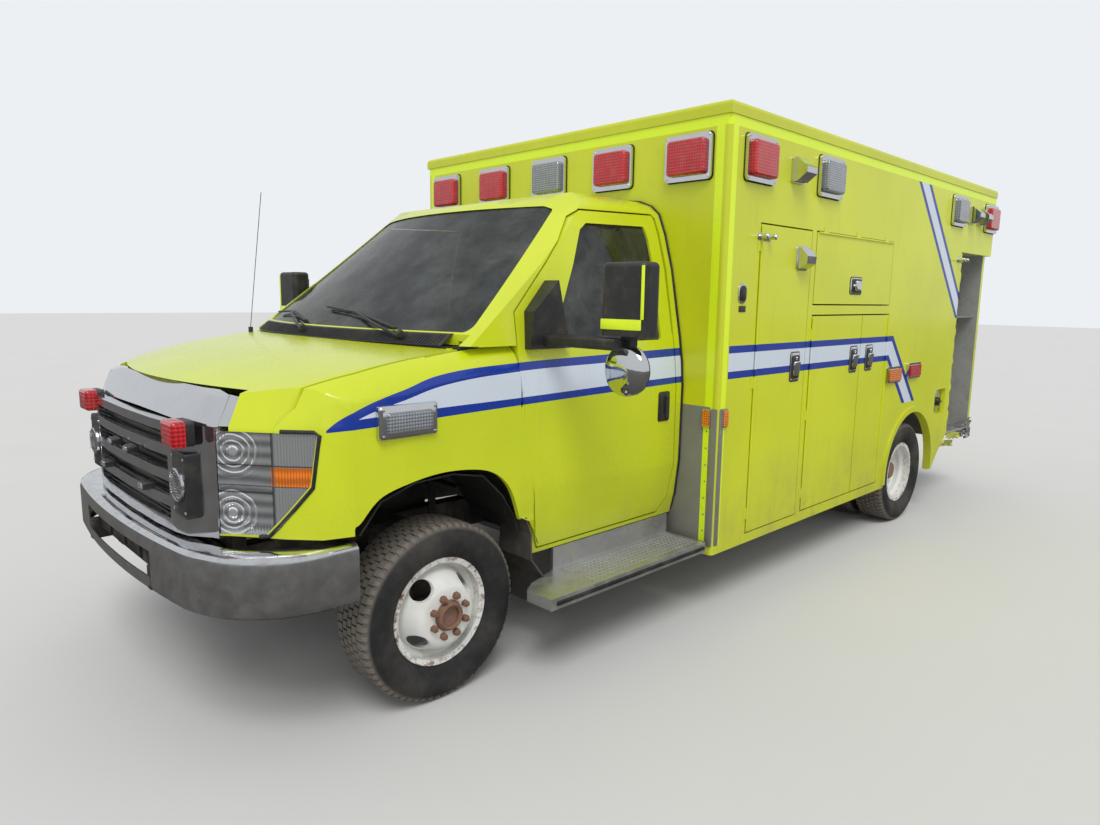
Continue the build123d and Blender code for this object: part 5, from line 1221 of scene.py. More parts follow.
class AMBULANCE_OT_front(bpy.types.Operator):
    """Lights, sirens and slats of the grille, and the lamp gaskets"""

    bl_idname = "ambulance.front"
    bl_label = "Front"

    def execute(self, context):
        black, horn, red, clear, recess = (Shape() for _ in range(5))
        for sign in SIDES.values():
            siren(black, horn, sign)
            x, y, z = GRILLE_LIGHT
            y *= sign
            black.prism(rounded(0.120, 0.088, 0.012), facing("front", x - 0.02, y, z), 0.030, 0.004)
            red.prism(rounded(0.122, 0.092, 0.014), facing("front", x + 0.010, y, z), 0.046, 0.014, 4)
        for sign in SIDES.values():
            for x, y, z in SMALL_LIGHTS:
                y *= sign
                black.prism(rounded(0.056, 0.032, 0.010), facing("front", x - 0.02, y, z), 0.040, 0.006)
                clear.prism(rounded(0.044, 0.022, 0.008), facing("front", x + 0.020, y, z), 0.006, 0.003)
        slat = Shape().prism(box_outline(0.868, 0.005), HERE, 0.026)
        first = facing("front", SLAT_X - 0.03, 0, 0.816)
        black.repeat(slat, first, "black_plastic", Count=SLAT_COUNT, Offset=(0, SLAT_STEP, 0))
        upright = Shape().prism(box_outline(0.006, 0.312), HERE, 0.012)
        first = facing("front", SLAT_X - 0.034, -0.36, 0.968)
        black.repeat(upright, first, "black_plastic", Count=10, Offset=(0.08, 0, 0))
        flank = surface_of(["headlamps", "front_fenders"])
        for side in SIDES:
            line = [on_surface(flank, side, x, z) for x, z in LAMP_GASKET]
            black.tube([point for point in line if point], 0.0075)
        plate = facing("front", *RECESS_PLATE)
        recess.prism(rounded(0.80, 0.094, 0.01), plate, 0.004)
        bolt = Shape().prism(ring_outline(0.007, 6), HERE, 0.006, 0.001)
        recess.repeat(bolt, moved(plate, -0.089, 0, 0.004), "black_steel", Count=2, Offset=(0.178, 0, 0))
        bracket = Shape().prism(box_outline(0.018, 0.07), HERE, 0.01, 0.002)
        recess.repeat(bracket, moved(plate, -0.20, 0, 0.004), "black_steel", Count=3, Offset=(0.2, 0, 0))
        recess.piece("plate_recess", "black_steel", "body", "chassis_black")
        black.piece("front_black", "black_plastic", "body", "black_plastic")
        horn.piece("siren_horns", "dull_chrome", "body", "bare_steel")
        red.piece("grille_lights_red", "red_lens", "body", "lens_red")
        clear.piece("grille_lights_clear", "clear_lens", "body", "lamp_glass")
        return {"FINISHED"}


# Bumper pressed from sheet, its ends swept round in arcs
BUMPER_ARCS = [((0.9255, 0.0), (0.9156, 0.330), (0.885, 0.650)),
               ((0.885, 0.650), (0.800, 0.850), (0.640, 0.972)),
               ((0.640, 0.972), (0.570, 0.993), (0.500, 1.000))]
BUMPER_END = (0.398, 1.000)
# Distance from the face and height
BUMPER_SECTION = [(-0.100, 0.752), (-0.034, 0.755), (-0.016, 0.751), (-0.004, 0.741), (0.0, 0.722),
                  (0.0, 0.560), (-0.005, 0.545), (-0.018, 0.537), (-0.030, 0.537), (-0.030, 0.541),
                  (-0.018, 0.541), (-0.009, 0.548), (-0.004, 0.560), (-0.004, 0.722), (-0.008, 0.738),
                  (-0.018, 0.747), (-0.034, 0.751), (-0.100, 0.748)]
# Half width, low and high z
RECESS = (0.415, 0.595, 0.695)


def bumper_line():
    """Plan of the bumper's face from its right end to its left."""
    half = []
    for arc in BUMPER_ARCS:
        half += arc_points(*arc, 14)[:-1]
    half += [BUMPER_ARCS[-1][2], BUMPER_END]
    return [(x, -y) for x, y in reversed(half[1:])] + half


def bumper_mesh():
    """Sheet of the bumper, closed at its ends."""
    line = [Vector(point) for point in bumper_line()]
    rings = []
    for index, point in enumerate(line):
        along = (line[min(index + 1, len(line) - 1)] - line[max(index - 1, 0)]).normalized()
        out = Vector((along.y, -along.x))
        if out.x + out.y * (1 if point.y > 0 else -1) < 0:
            out = -out
        ring = []
        for depth, z in BUMPER_SECTION:
            ring.append(at(point.x + out.x * depth, point.y + out.y * depth, z))
        rings.append(ring)
    return loft(rings)


# Front wheel, as radius and height towards its face
HOLE_ANGLES = (40, 130, 220, 310)
HOLE_HALVES = (0.0225, 0.047)
HOLE_PLACE = (0.1455, 0, 0.02)
HOLE_DEPTH = 0.14
HOLE_STEPS = 28
RIM_STEPS = 96
RIM = [(0.220, 0.086), (0.222, 0.082), (0.220, 0.078), (0.206, 0.0775), (0.204, 0.060), (0.203, 0.044),
       (0.186, 0.026), (0.184, 0.0), (0.184, -0.026), (0.203, -0.044), (0.205, -0.079), (0.220, -0.079),
       (0.220, -0.086), (0.198, -0.086), (0.197, -0.044), (0.178, -0.022), (0.177, 0.004), (0.170, 0.010),
       (0.158, 0.034), (0.146, 0.072), (0.132, 0.100), (0.118, 0.116), (0.106, 0.1215), (0.060, 0.1215),
       (0.060, 0.131), (0.106, 0.131), (0.122, 0.1275), (0.138, 0.112), (0.153, 0.084), (0.166, 0.046),
       (0.177, 0.022), (0.178, 0.024), (0.197, 0.042), (0.199, 0.079)]
HUB_CAP = [(0.0, 0.128), (0.034, 0.128), (0.040, 0.133), (0.040, 0.150), (0.048, 0.157), (0.055, 0.153),
           (0.060, 0.140), (0.060, 0.118), (0.0, 0.118)]
LUGS = 8
LUG_PLACE = (0.0826, 0, 0.130)
LUG = [(0.0, 0.034), (0.006, 0.034), (0.007, 0.031), (0.007, 0.026), (0.010, 0.026), (0.0145, 0.022),
       (0.0155, 0.0)]


def wheel_mesh():
    """Rim and dished disc with four oval holes, its face towards local Z."""
    made = bmesh.new()
    rings = []
    for step in range(RIM_STEPS):
        a = math.tau * step / RIM_STEPS
        rings.append([made.verts.new((r * math.cos(a), r * math.sin(a), h)) for r, h in RIM])
    for near, far in zip(rings, rings[1:] + rings[:1]):
        for k in range(len(RIM)):
            other = (k + 1) % len(RIM)
            made.faces.new((near[k], far[k], far[other], near[other]))
    bmesh.ops.recalc_face_normals(made, faces=made.faces[:])
    holes = bmesh.new()
    wide, high = HOLE_HALVES
    for angle in HOLE_ANGLES:
        around = [math.tau * k / HOLE_STEPS for k in range(HOLE_STEPS)]
        oval = [(wide * math.cos(a), high * math.sin(a)) for a in around]
        place = moved(Matrix.Rotation(math.radians(angle), 4, "Z"), *HOLE_PLACE)
        cutter_prism(holes, oval, place, HOLE_DEPTH)
    return cut_away(made, holes)


def patch(shape, corners, thick, steps=1, fold=0.0, rng=None):
    """Sheet between four corners, creased by chance where it has a fold."""
    a, b, c, d = (Vector(corner) for corner in corners)
    out = (b - a).cross(d - a).normalized()
    made = bmesh.new()
    layers = [[], []]
    shift = {}
    row = steps + 1
    cells = [(i, j) for i in range(row) for j in range(row)]
    for level, layer in enumerate(layers):
        for i, j in cells:
            u, v = i / steps, j / steps
            point = a.lerp(b, u).lerp(d.lerp(c, u), v)
            if fold and (i, j) not in shift:
                shift[i, j] = Vector(rng.uniform(-fold, fold) for _ in range(3)) * (0.3 + 0.7 * v)
            point += shift.get((i, j), Vector())
            layer.append(made.verts.new(point + out * thick * level))
    low, high = layers
    for i in range(steps):
        for j in range(steps):
            k = i * row + j
            made.faces.new((low[k], low[k + 1], low[k + row + 1], low[k + row]))
            made.faces.new((high[k], high[k + row], high[k + row + 1], high[k + 1]))
    edge = [i * row + j for i, j in rim_cells(steps)]
    for first, second in zip(edge, edge[1:] + edge[:1]):
        made.faces.new((low[first], low[second], high[second], high[first]))
    bmesh.ops.recalc_face_normals(made, faces=made.faces[:])
    shape.take(made)


# Place along, inner and outer y, and height of each row down the mud flaps
FLAP_ROWS = [(-0.393, 0.800, 0.998, 0.690), (-0.4215, 0.800, 1.002, 0.612), (-0.4235, 0.790, 1.003, 0.495),
             (-0.500, 0.715, 1.002, 0.400), (-0.530, 0.740, 1.000, 0.240)]
# Height, front and back of the strip between the fender and the door
TOE_ROWS = [(1.170, -0.350, -0.384), (1.080, -0.350, -0.403), (0.950, -0.350, -0.424),
            (0.860, -0.350, -0.436), (0.760, -0.350, -0.444), (0.702, -0.355, -0.449),
            (0.672, -0.415, -0.452), (0.610, -0.448, -0.464), (0.560, -0.472, -0.480)]
BUMPER_CUT_X = 0.92
BUMPER_CUT_DEPTH = 0.2
CAP_CORNER = [(0.691, 0.667, 1.272), (0.7375, 0.667, 1.166), (0.710, 0.698, 1.166), (0.650, 0.698, 1.258)]
IRON_PLACE = (0.8003, 0.394, 0.590)
# Where the fender's flank is read for that strip, and how far behind it the door's
FENDER_READ = (-0.345, 0.80)
DOOR_READ = (0.03, 0.62)


def front_wheel(side, sign):
    """One front wheel with its hub cap and nuts."""
    node = f"front_wheel_{side}"
    place = facing(side, 0, sign * FRONT_WHEEL_Y, TYRE_RADIUS)
    shape = Shape()
    shape.take(wheel_mesh(), place)
    shape.lathe(HUB_CAP, place, 48)
    for index in range(LUGS):
        turn = Matrix.Rotation(math.tau * (index + 0.5) / LUGS, 4, "Z")
        shape.lathe(LUG, moved(place @ turn, *LUG_PLACE), 6)
    piece = shape.piece(f"{node}_pressed", "front_wheel", node, "wheel_white", 0.7)
    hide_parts(node)


def pressed_bumper():
    """Bumper with its recess for the plate."""
    half, low, high = RECESS
    box = bmesh.new()
    bmesh.ops.create_cube(box, size=1.0)
    bmesh.ops.scale(box, vec=(BUMPER_CUT_DEPTH, 2 * half, high - low), verts=box.verts[:])
    bmesh.ops.translate(box, vec=at(BUMPER_CUT_X, 0, (high + low) / 2), verts=box.verts[:])
    shape = Shape()
    shape.take(cut_away(bumper_mesh(), box))
    piece = shape.piece("front_bumper_pressed", "chrome", "body", "chrome", 0.5)
    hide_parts("front_bumper")


def fender_toe(toes, side):
    """Strip down the fender's rear edge, from its flank to the door's."""
    wing, leaf = surface_of(["front_fenders"]), surface_of([f"cab_door_{side}"])
    rows = []
    for z, front, back in TOE_ROWS:
        ahead = on_surface(wing, side, FENDER_READ[0], max(z, FENDER_READ[1]), -0.001)
        behind = on_surface(leaf, side, back - DOOR_READ[0], max(z, DOOR_READ[1]), -0.0005)
        rows.append((Vector((AXLE_X + front, ahead.y, z)), Vector((AXLE_X + back, behind.y, z))))
    for upper, lower in zip(rows, rows[1:]):
        patch(toes, [*upper, *lower[::-1]], 0.002)


class AMBULANCE_OT_wheels(bpy.types.Operator):
    """Front wheels with oval holes, pressed bumper, mud flaps and fender toes"""

    bl_idname = "ambulance.wheels"
    bl_label = "Front wheels and bumper"

    def execute(self, context):
        for side, sign in SIDES.items():
            front_wheel(side, sign)
        pressed_bumper()
        caps, flaps, toes, irons = (Shape() for _ in range(4))
        for side, sign in SIDES.items():
            patch(caps, [at(x, sign * y, z) for x, y, z in CAP_CORNER], 0.003)
            rows = [[at(x, sign * y, z) for y in (inner, outer)] for x, inner, outer, z in FLAP_ROWS]
            for upper, lower in zip(rows, rows[1:]):
                patch(flaps, [*upper, *lower[::-1]], 0.007)
            fender_toe(toes, side)
            x, y, z = IRON_PLACE
            irons.prism(rounded(0.036, 0.090, 0.004), facing("front", x, sign * y, z), 0.110, 0.002)
        caps.piece("cap_corners", "chrome", "body", "chrome")
        flaps.piece("mud_flaps", "flap_rubber", "body", "black_plastic")
        toes.piece("fender_toes", "cab_paint", "body", "yellow_paint")
        holder = irons.piece("bumper_irons", "black_steel", "body", "chassis_black")
        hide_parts("front_bumper")
        return {"FINISHED"}


# Fender lamps, wipers, cowl louvres, aerial
FENDER_LAMP = (0.192, 1.172)
SCREEN_LOW_Z = 1.460
SCREEN_HIGH = 0.590
SCREEN_LEAN = -0.693 / SCREEN_HIGH
SCREEN_SWEEP = 0.150


def screen_place(y, z, proud):
    """Point on the windscreen's surface, moved forward."""
    rise = z - SCREEN_LOW_Z
    half = 0.940 - 0.223 * (rise / SCREEN_HIGH)
    return at(SCREEN_LEAN * rise - SCREEN_SWEEP * (y / half) ** 2 + proud, y, z)


# Pivot, joint and the two ends of each blade, as y and z on the screen
WIPERS = [((0.62, 1.452), (0.20, 1.540), (0.54, 1.482), (-0.12, 1.560)),
          ((-0.12, 1.452), (-0.50, 1.530), (-0.20, 1.492), (-0.78, 1.520))]
WIPER_TURN = 0.85
LOUVRES = 110
LOUVRE_HALF = 0.82
COWL_HALF = 0.845
COWL_ROWS = (1.4235, 1.447, 1.470)
COWL_STEPS = 48
MAST = (-0.03, -0.862, 1.405)
MAST_SHIFTS = [(0, 0, 0.03), (-0.05, -0.01, 0.40), (-0.10, -0.02, 0.76)]


def wiper(wipers, pivot, joint, low, high):
    """Pivot, arm, holder and blade of one wiper."""
    spindle = Matrix.Translation(screen_place(*pivot, 0.012)) @ Matrix.Rotation(WIPER_TURN, 4, "Y")
    wipers.lathe([(0, 0.03), (0.012, 0.03), (0.016, 0.02), (0.016, -0.02), (0, -0.02)], spindle, 16)
    bend = screen_place(pivot[0] * 0.6 + joint[0] * 0.4, 1.49, 0.045)
    wipers.tube([screen_place(*pivot, 0.030), bend, screen_place(*joint, 0.030)], 0.0065)
    wipers.tube([screen_place(*low, 0.020), screen_place(*joint, 0.026), screen_place(*high, 0.020)], 0.005)
    wipers.tube([screen_place(*point, 0.010) for point in (low, joint, high)], 0.004)


class AMBULANCE_OT_cowl(bpy.types.Operator):
    """Louvred cowl, wipers, aerial and fender lamps"""

    bl_idname = "ambulance.cowl"
    bl_label = "Cowl"

    def execute(self, context):
        panel = Shape()
        rings = []
        for step in range(COWL_STEPS + 1):
            y = COWL_HALF * (2 * step / COWL_STEPS - 1)
            outer = [screen_place(y, z, 0.006) for z in COWL_ROWS]
            rings.append(outer + [screen_place(y, z, -0.002) for z in reversed(COWL_ROWS)])
        panel.take(loft(rings))
        for index in range(LOUVRES):
            y = LOUVRE_HALF * (2 * index / (LOUVRES - 1) - 1)
            panel.tube([screen_place(y, 1.428, 0.008), screen_place(y - 0.004, 1.466, 0.008)], 0.0028, 4)
        panel.piece("cowl_louvres", "black_plastic", "body", "black_plastic")
        wipers = Shape()
        for points in WIPERS:
            wiper(wipers, *points)
        mast = at(*MAST)
        heights = [mast + Vector(shift) for shift in MAST_SHIFTS]
        wipers.tube([mast, heights[0]], 0.012, 12)
        wipers.tube(heights, 0.0018, 6)
        wipers.piece("wipers", "black_plastic", "body", "black_plastic")
        bezel, glassy, screws = Shape(), Shape(), Shape()
        x, z = FENDER_LAMP
        for side, sign in SIDES.items():
            place = facing(side, x, sign * 0.962, z)
            bezel.prism(rounded(0.250, 0.124, 0.014), place, 0.058, 0.012, 3)
            glassy.prism(rounded(0.196, 0.074, 0.012), facing(side, x, sign * 1.017, z), 0.012, 0.008, 3)
            screw = Shape().prism(ring_outline(0.0055, 10), HERE, 0.003, 0.001)
            screws.four(screw, facing(side, x, sign * 1.020, z), "dull_chrome", 0.22, 0.094)
        bezel.piece("fender_lamp_bezels", "chrome", "body", "chrome")
        glassy.piece("fender_lamp_lenses", "clear_lens", "body", "lamp_glass")
        screws.piece("fender_lamp_screws", "dull_chrome", "body", "bare_steel")
        return {"FINISHED"}


# Latches, holdbacks and small fittings on the box
LATCHES = {
    "tall_door": ("left", -2.224, 1.253, False),
    "flip_door": ("left", -2.933, 1.714, True),
    "lower_door_front": ("left", -2.971, 1.260, False),
    "lower_door_rear": ("left", -3.199, 1.260, False),
    "side_door": ("right", -2.690, 1.250, False),
    "curb_rear_door": ("right", -5.290, 1.250, False),
    "rear_door_left": ("rear", -5.500, 1.250, False),
    "rear_door_right": ("rear", -5.500, 1.250, False),
}
LATCH_SIZE = (0.098, 0.158)
REAR_LATCH_Y = 0.085
LATCH_PROUD = 0.0012


def latch(shape, tray, place):
    """Paddle latch: rounded plate, sunk tray with its rim, paddle and keyhole."""
    wide, high = LATCH_SIZE
    shape.prism(rounded(wide, high, 0.016), place, 0.005, 0.002)
    tray.prism(rounded(wide * 0.84, high * 0.82, 0.012), moved(place, 0, 0, 0.0045), 0.004, 0.0015)
    tray.prism(rounded(wide + 0.010, high + 0.010, 0.018), place, 0.0022)
    paddle = moved(place, 0, -0.008, 0.008) @ Matrix.Rotation(0.10, 4, "X")
    shape.prism(rounded(wide * 0.62, high * 0.52, 0.012), paddle, 0.014, 0.006, 3)
    shape.lathe([(0.0, 0.014), (0.007, 0.014), (0.009, 0.011), (0.009, 0.0)],
                moved(place, 0, high * 0.31, 0.004), 20)


def latch_place(node):
    """Face of a door at its latch."""
    side, x, z, lying = LATCHES[node]
    if side == "rear":
        y = REAR_LATCH_Y if node.endswith("left") else -REAR_LATCH_Y
        place = facing("rear", MODULE_REAR_X - LATCH_PROUD, y, z)
    else:
        place = facing(side, x, SIDES[side] * (MODULE_HALF + LATCH_PROUD), z)
    return place @ Matrix.Rotation(math.pi / 2, 4, "Z") if lying else place


BUFFER = [(0, 0.052), (0.010, 0.052), (0.014, 0.046), (0.012, 0.004), (0.016, 0.0)]
HOLDBACKS = [(-1.826, 1.938), (-4.750, 1.949)]
OUTLET = (-1.644, 1.651)
BLACK_PLATE = (-1.651, 1.574)
SCENE_HOOD = (-2.227, 1.848)
FUEL_PLACE = (-4.592, 0.850)
HANDLE = (-1.3215, 1.086)


def scene_hood(shape):
    """Hooded light on the tall door."""
    place = facing("left", SCENE_HOOD[0], MODULE_HALF + LATCH_PROUD, SCENE_HOOD[1])
    shape.prism(rounded(0.118, 0.132, 0.02), place, 0.010, 0.004)
    wedge = [(0.0, -0.056), (-0.020, -0.056), (-0.060, -0.030), (-0.064, 0.010), (-0.022, 0.058),
             (0.0, 0.058)]
    turned = place @ Matrix(((0, 0, 1, -0.050), (0, 1, 0, 0), (-1, 0, 0, 0), (0, 0, 0, 1)))
    shape.prism(wedge, turned, 0.100)


class AMBULANCE_OT_fittings(bpy.types.Operator):
    """Latches, holdbacks, inlet, fuel cap and door pulls"""

    bl_idname = "ambulance.fittings"
    bl_label = "Fittings"

    def execute(self, context):
        for node in LATCHES:
            shape = Shape()
            place = latch_place(node)
            tray = Shape()
            latch(shape, tray, place)
            tray.piece(f"{node}_latch_tray", "black_plastic", node, "black_plastic")
            screw = Shape().prism(ring_outline(0.004, 8), HERE, 0.002, 0.0008)
            shape.four(screw, moved(place, 0, 0, 0.005), "chrome", 0.082, 0.142)
            if node == "tall_door":
                scene_hood(shape)
            shape.piece(f"{node}_latch", "chrome", node, "chrome")
        shape, black = Shape(), Shape()
        for x, z in HOLDBACKS:
            place = facing("left", x, MODULE_HALF, z)
            shape.prism(rounded(0.130, 0.040, 0.012), place, 0.004, 0.0015)
            for offset in (-0.040, 0.040):
                shape.lathe(BUFFER, moved(place, offset, 0, 0), 20)
        place = facing("left", OUTLET[0], MODULE_HALF, OUTLET[1])
        shape.prism(rounded(0.074, 0.100, 0.034, 8), place, 0.006, 0.002)
        black.prism(rounded(0.052, 0.078, 0.025, 8), moved(place, 0, 0, 0.0062), 0.006, 0.002)
        x, z = BLACK_PLATE
        black.prism(rounded(0.060, 0.030, 0.004), facing("left", x, MODULE_HALF, z), 0.004, 0.001)
        fuel = facing("left", FUEL_PLACE[0], MODULE_HALF - 0.030, FUEL_PLACE[1])
        shape.prism(rounded(0.212, 0.192, 0.012), moved(fuel, 0, 0, -0.002), 0.003, 0.001)
        black.lathe([(0, 0.028), (0.030, 0.028), (0.034, 0.022), (0.034, 0.0)], fuel, 28)
        black.prism(rounded(0.062, 0.012, 0.005), moved(fuel, 0, 0, 0.026), 0.012, 0.004)
        shape.piece("box_fittings", "dull_chrome", "body", "chrome")
        black.piece("box_fittings_black", "black_plastic", "body", "black_plastic")
        for side, sign in SIDES.items():
            node = f"cab_door_{side}"
            handle = Shape()
            spot = on_surface(surface_of([node]), side, *HANDLE, -0.001) - at(0, 0, 0)
            place = facing(side, *spot)
            handle.prism(rounded(0.090, 0.150, 0.014), place, 0.005, 0.002)
            handle.prism(rounded(0.064, 0.122, 0.012), moved(place, 0, 0, 0.004), 0.003, 0.001)
            lever = moved(place, 0.014 * sign, 0, 0.006)
            handle.prism(rounded(0.024, 0.116, 0.010), lever, 0.016, 0.006, 3)
            handle.piece(f"{node}_handle", "black_plastic", node, "black_plastic")
        return {"FINISHED"}


# Raised tread: lozenges on boards and step, rivets on the guards
LOZENGE = [(-0.013, 0), (0, -0.0032), (0.013, 0), (0, 0.0032)]


def tread_field(shape, place, wide, high, pitch=0.026):
    """Two crossed sets of lozenges over a field, its corner at the place."""
    columns, rows = int(wide / pitch), int(high / pitch)
    for fewer, turn in ((0, math.pi / 4), (1, -math.pi / 4)):
        unit = Shape().prism(LOZENGE, Matrix.Rotation(turn, 4, "Z"), 0.0016)
        shift = pitch / 2 * (1 + fewer)
        values = {"Count": columns - fewer, "Offset": (pitch, 0, 0)}
        values.update({"Rows": rows - fewer, "Row Offset": (0, pitch, 0)})
        shape.repeat(unit, moved(place, shift, shift, 0), "aluminium", **values)


# Low and high y, low and high z
GUARD = (0.914, 1.176, 0.330, 1.086)
POST = (1.180, 1.2165, 0.369, 1.079)
# Low and high x, low and high y, height
BOARD = (-1.430, -0.610, 0.975, 1.195, 0.400)
STEP = (-5.725, -5.515, -1.10, 0.74, 0.535)
RIVET = [(0, 0.0025), (0.004, 0.002), (0.0055, 0.0)]


class AMBULANCE_OT_tread(bpy.types.Operator):
    """Stone guards, corner posts, tread of boards and step"""

    bl_idname = "ambulance.tread"
    bl_label = "Tread plate"

    def execute(self, context):
        guards, posts, tapes, ambers = Shape(), Shape(), Shape(), Shape()
        low_y, high_y, low_z, high_z = GUARD
        post_wide, post_high, post_z = POST[1] - POST[0], POST[3] - POST[2], (POST[2] + POST[3]) / 2
        for side, sign in SIDES.items():
            middle = sign * (low_y + high_y) / 2
            plate = facing("front", MODULE_FRONT_X, middle, (low_z + high_z) / 2)
            guards.prism(rounded(high_y - low_y, high_z - low_z, 0.008), plate, 0.003, 0.001)
            corner = moved(plate, 0.015 - (high_y - low_y) / 2, 0.03 - (high_z - low_z) / 2, 0.003)
            values = {"Count": 2, "Offset": (high_y - low_y - 0.03, 0, 0)}
            values.update({"Rows": 9, "Row Offset": (0, 0.086, 0)})
            guards.repeat(Shape().lathe(RIVET, HERE, 10), corner, "grey_guard", **values)
            tape_place = facing("front", MODULE_FRONT_X + 0.0032, sign * 1.156, 0.69)
            tapes.prism(rounded(0.034, 0.60, 0.002), tape_place, 0.0004)
            marker = facing(side, MODULE_FRONT_X - 0.058, sign * MODULE_HALF, 1.030)
            posts.prism(rounded(0.046, 0.094, 0.006), marker, 0.010, 0.003)
            ambers.prism(rounded(0.036, 0.082, 0.006), moved(marker, 0, 0, 0.0102), 0.007, 0.004, 3)
            post = facing("front", MODULE_FRONT_X, sign * (POST[0] + POST[1]) / 2, post_z)
            posts.prism(rounded(post_wide, post_high, 0.006), post, 0.006, 0.003)
            wrap = facing(side, MODULE_FRONT_X - 0.034, sign * (MODULE_HALF - 0.0005), post_z)
            posts.prism(rounded(0.034, post_high, 0.006), wrap, 0.0035, 0.001)
            lowest = moved(wrap, 0, 0.05 - post_high / 2, 0.0033)
            rivet = Shape().lathe(RIVET, HERE, 10)
            posts.repeat(rivet, lowest, "grey_guard", Count=8, Offset=(0, 0.088, 0))
        guards.piece("stone_guards", "grey_guard", "body", "tread_aluminium")
        tapes.piece("guard_tape", "tape", "body", "yellow_paint")
        ambers.piece("corner_markers", "amber_lens", "body", "lens_red")
        posts.piece("corner_posts", "grey_guard", "body", "tread_aluminium")
        boards, rubber_strip = Shape(), Shape()
        x0, x1, y0, y1, z = BOARD
        for side, sign in SIDES.items():
            corner = at(x0, y0 if sign > 0 else -y1, z)
            tread_field(boards, Matrix.Translation(corner), x1 - x0, y1 - y0)
            place = facing(side, -0.905, sign * 1.2075, 0.375)
            rubber_strip.prism(rounded(1.05, 0.018, 0.006), place, 0.006, 0.002)
        x0, x1, y0, y1, z = STEP
        tread_field(boards, Matrix.Translation(at(x0, y0, z)), x1 - x0, y1 - y0)
        boards.piece("raised_tread", "aluminium", "body", "tread_aluminium")
        rubber_strip.piece("board_strips", "seal", "body", "black_plastic")
        return {"FINISHED"}


# Cab seal and mirror dressing
CAB_REAR = [(0.955, 0.52), (0.980, 0.610), (1.000, 0.790), (1.003, 1.180), (0.994, 1.300),
            (0.974, 1.430), (0.909, 1.766), (0.858, 1.943), (0.815, 2.046), (0.765, 2.088),
            (0.690, 2.116), (0.400, 2.146), (0.0, 2.158)]
SEAL_X = -1.471
ROUND_MIRROR = [(0.0, 0.026), (0.03, 0.025), (0.06, 0.021), (0.085, 0.012), (0.0985, 0.002),
                (0.101, -0.004), (0.101, -0.03), (0.097, -0.032)]


class AMBULANCE_OT_seals(bpy.types.Operator):
    """Seal behind the cab, mirror faces, round mirrors and tape"""

    bl_idname = "ambulance.seals"
    bl_label = "Seals and mirrors"

    def execute(self, context):
        seal = Shape()
        loop = CAB_REAR + [(-y, z) for y, z in reversed(CAB_REAR[:-1])]
        seal.tube([at(SEAL_X, y, z) for y, z in loop], 0.0075)
        seal.piece("cab_seal", "seal", "body", "black_plastic")
        for side, sign in SIDES.items():
            body = f"cab_door_{side}"
            face, strip, dome = Shape(), Shape(), Shape()
            face.prism(rounded(0.176, 0.236, 0.03), facing("rear", -0.610, sign * 1.405, 1.615), 0.002)
            lower = facing("front", -0.5005, sign * 1.405, 1.520)
            strip.prism(rounded(0.200, 0.040, 0.004), lower, 0.0025, 0.001)
            edge = facing("front", -0.5055, sign * 1.505, 1.640)
            strip.prism(rounded(0.014, 0.200, 0.003), edge, 0.0025, 0.001)
            dome.lathe(ROUND_MIRROR, facing("front", -0.5405, sign * 1.396, 1.340), 48)
            clamp = [at(-0.56, sign * 1.396, 1.436), at(-0.56, sign * 1.396, 1.470)]
            dome.tube(clamp, 0.011, 12)
            face.piece(f"mirror_face_{side}", "mirror_face", body, "chrome")
            strip.piece(f"mirror_tape_{side}", "tape", body, "yellow_paint")
            dome.piece(f"round_mirror_{side}", "chrome", body, "chrome")
        return {"FINISHED"}


# Lamp screws and gaskets
LAMP_Z = 2.305
SIDE_LAMPS_X = (-1.742, -2.494, -4.613, -5.373)
LAMP_PLACES = [("front", MODULE_FRONT_X, y, LAMP_Z) for y in (-0.989, -0.494, 0.0, 0.494, 0.989)]
LAMP_PLACES += [("rear", MODULE_REAR_X, y, LAMP_Z) for y in (-0.989, -0.380, 0.380, 0.989)]
for lamp_side, lamp_sign in SIDES.items():
    LAMP_PLACES += [(lamp_side, x, lamp_sign * MODULE_HALF, LAMP_Z) for x in SIDE_LAMPS_X]
LAMP_SIZE = (0.275, 0.222)
BEZEL_PROUD = 0.022


class AMBULANCE_OT_lamp_trim(bpy.types.Operator):
    """Screws and gaskets of the big lamps"""

    bl_idname = "ambulance.lamp_trim"
    bl_label = "Lamp trim"

    def execute(self, context):
        screws, gaskets = Shape(), Shape()
        wide, high = LAMP_SIZE
        for side, x, y, z in LAMP_PLACES:
            place = facing(side, x, y, z)
            screw = Shape().lathe([(0, 0.0022), (0.0035, 0.0022), (0.0058, 0.0)], HERE, 10)
            screws.four(screw, moved(place, 0, 0, BEZEL_PROUD), "dull_chrome", wide - 0.028, high - 0.028)
            gaskets.prism(rounded(wide + 0.008, high + 0.008, 0.026), place, 0.0035)
        screws.piece("lamp_screws", "dull_chrome", "body", "bare_steel")
        gaskets.piece("lamp_gaskets", "seal", "body", "black_plastic")
        return {"FINISHED"}


# Upholstery
PAD_STEPS = 22
# How far the pad's side stands out, and at what share of its height
PAD_SIDE = [(1.006, 0.72), (1.008, 0.40), (0.998, 0.10), (0.965, 0.0)]


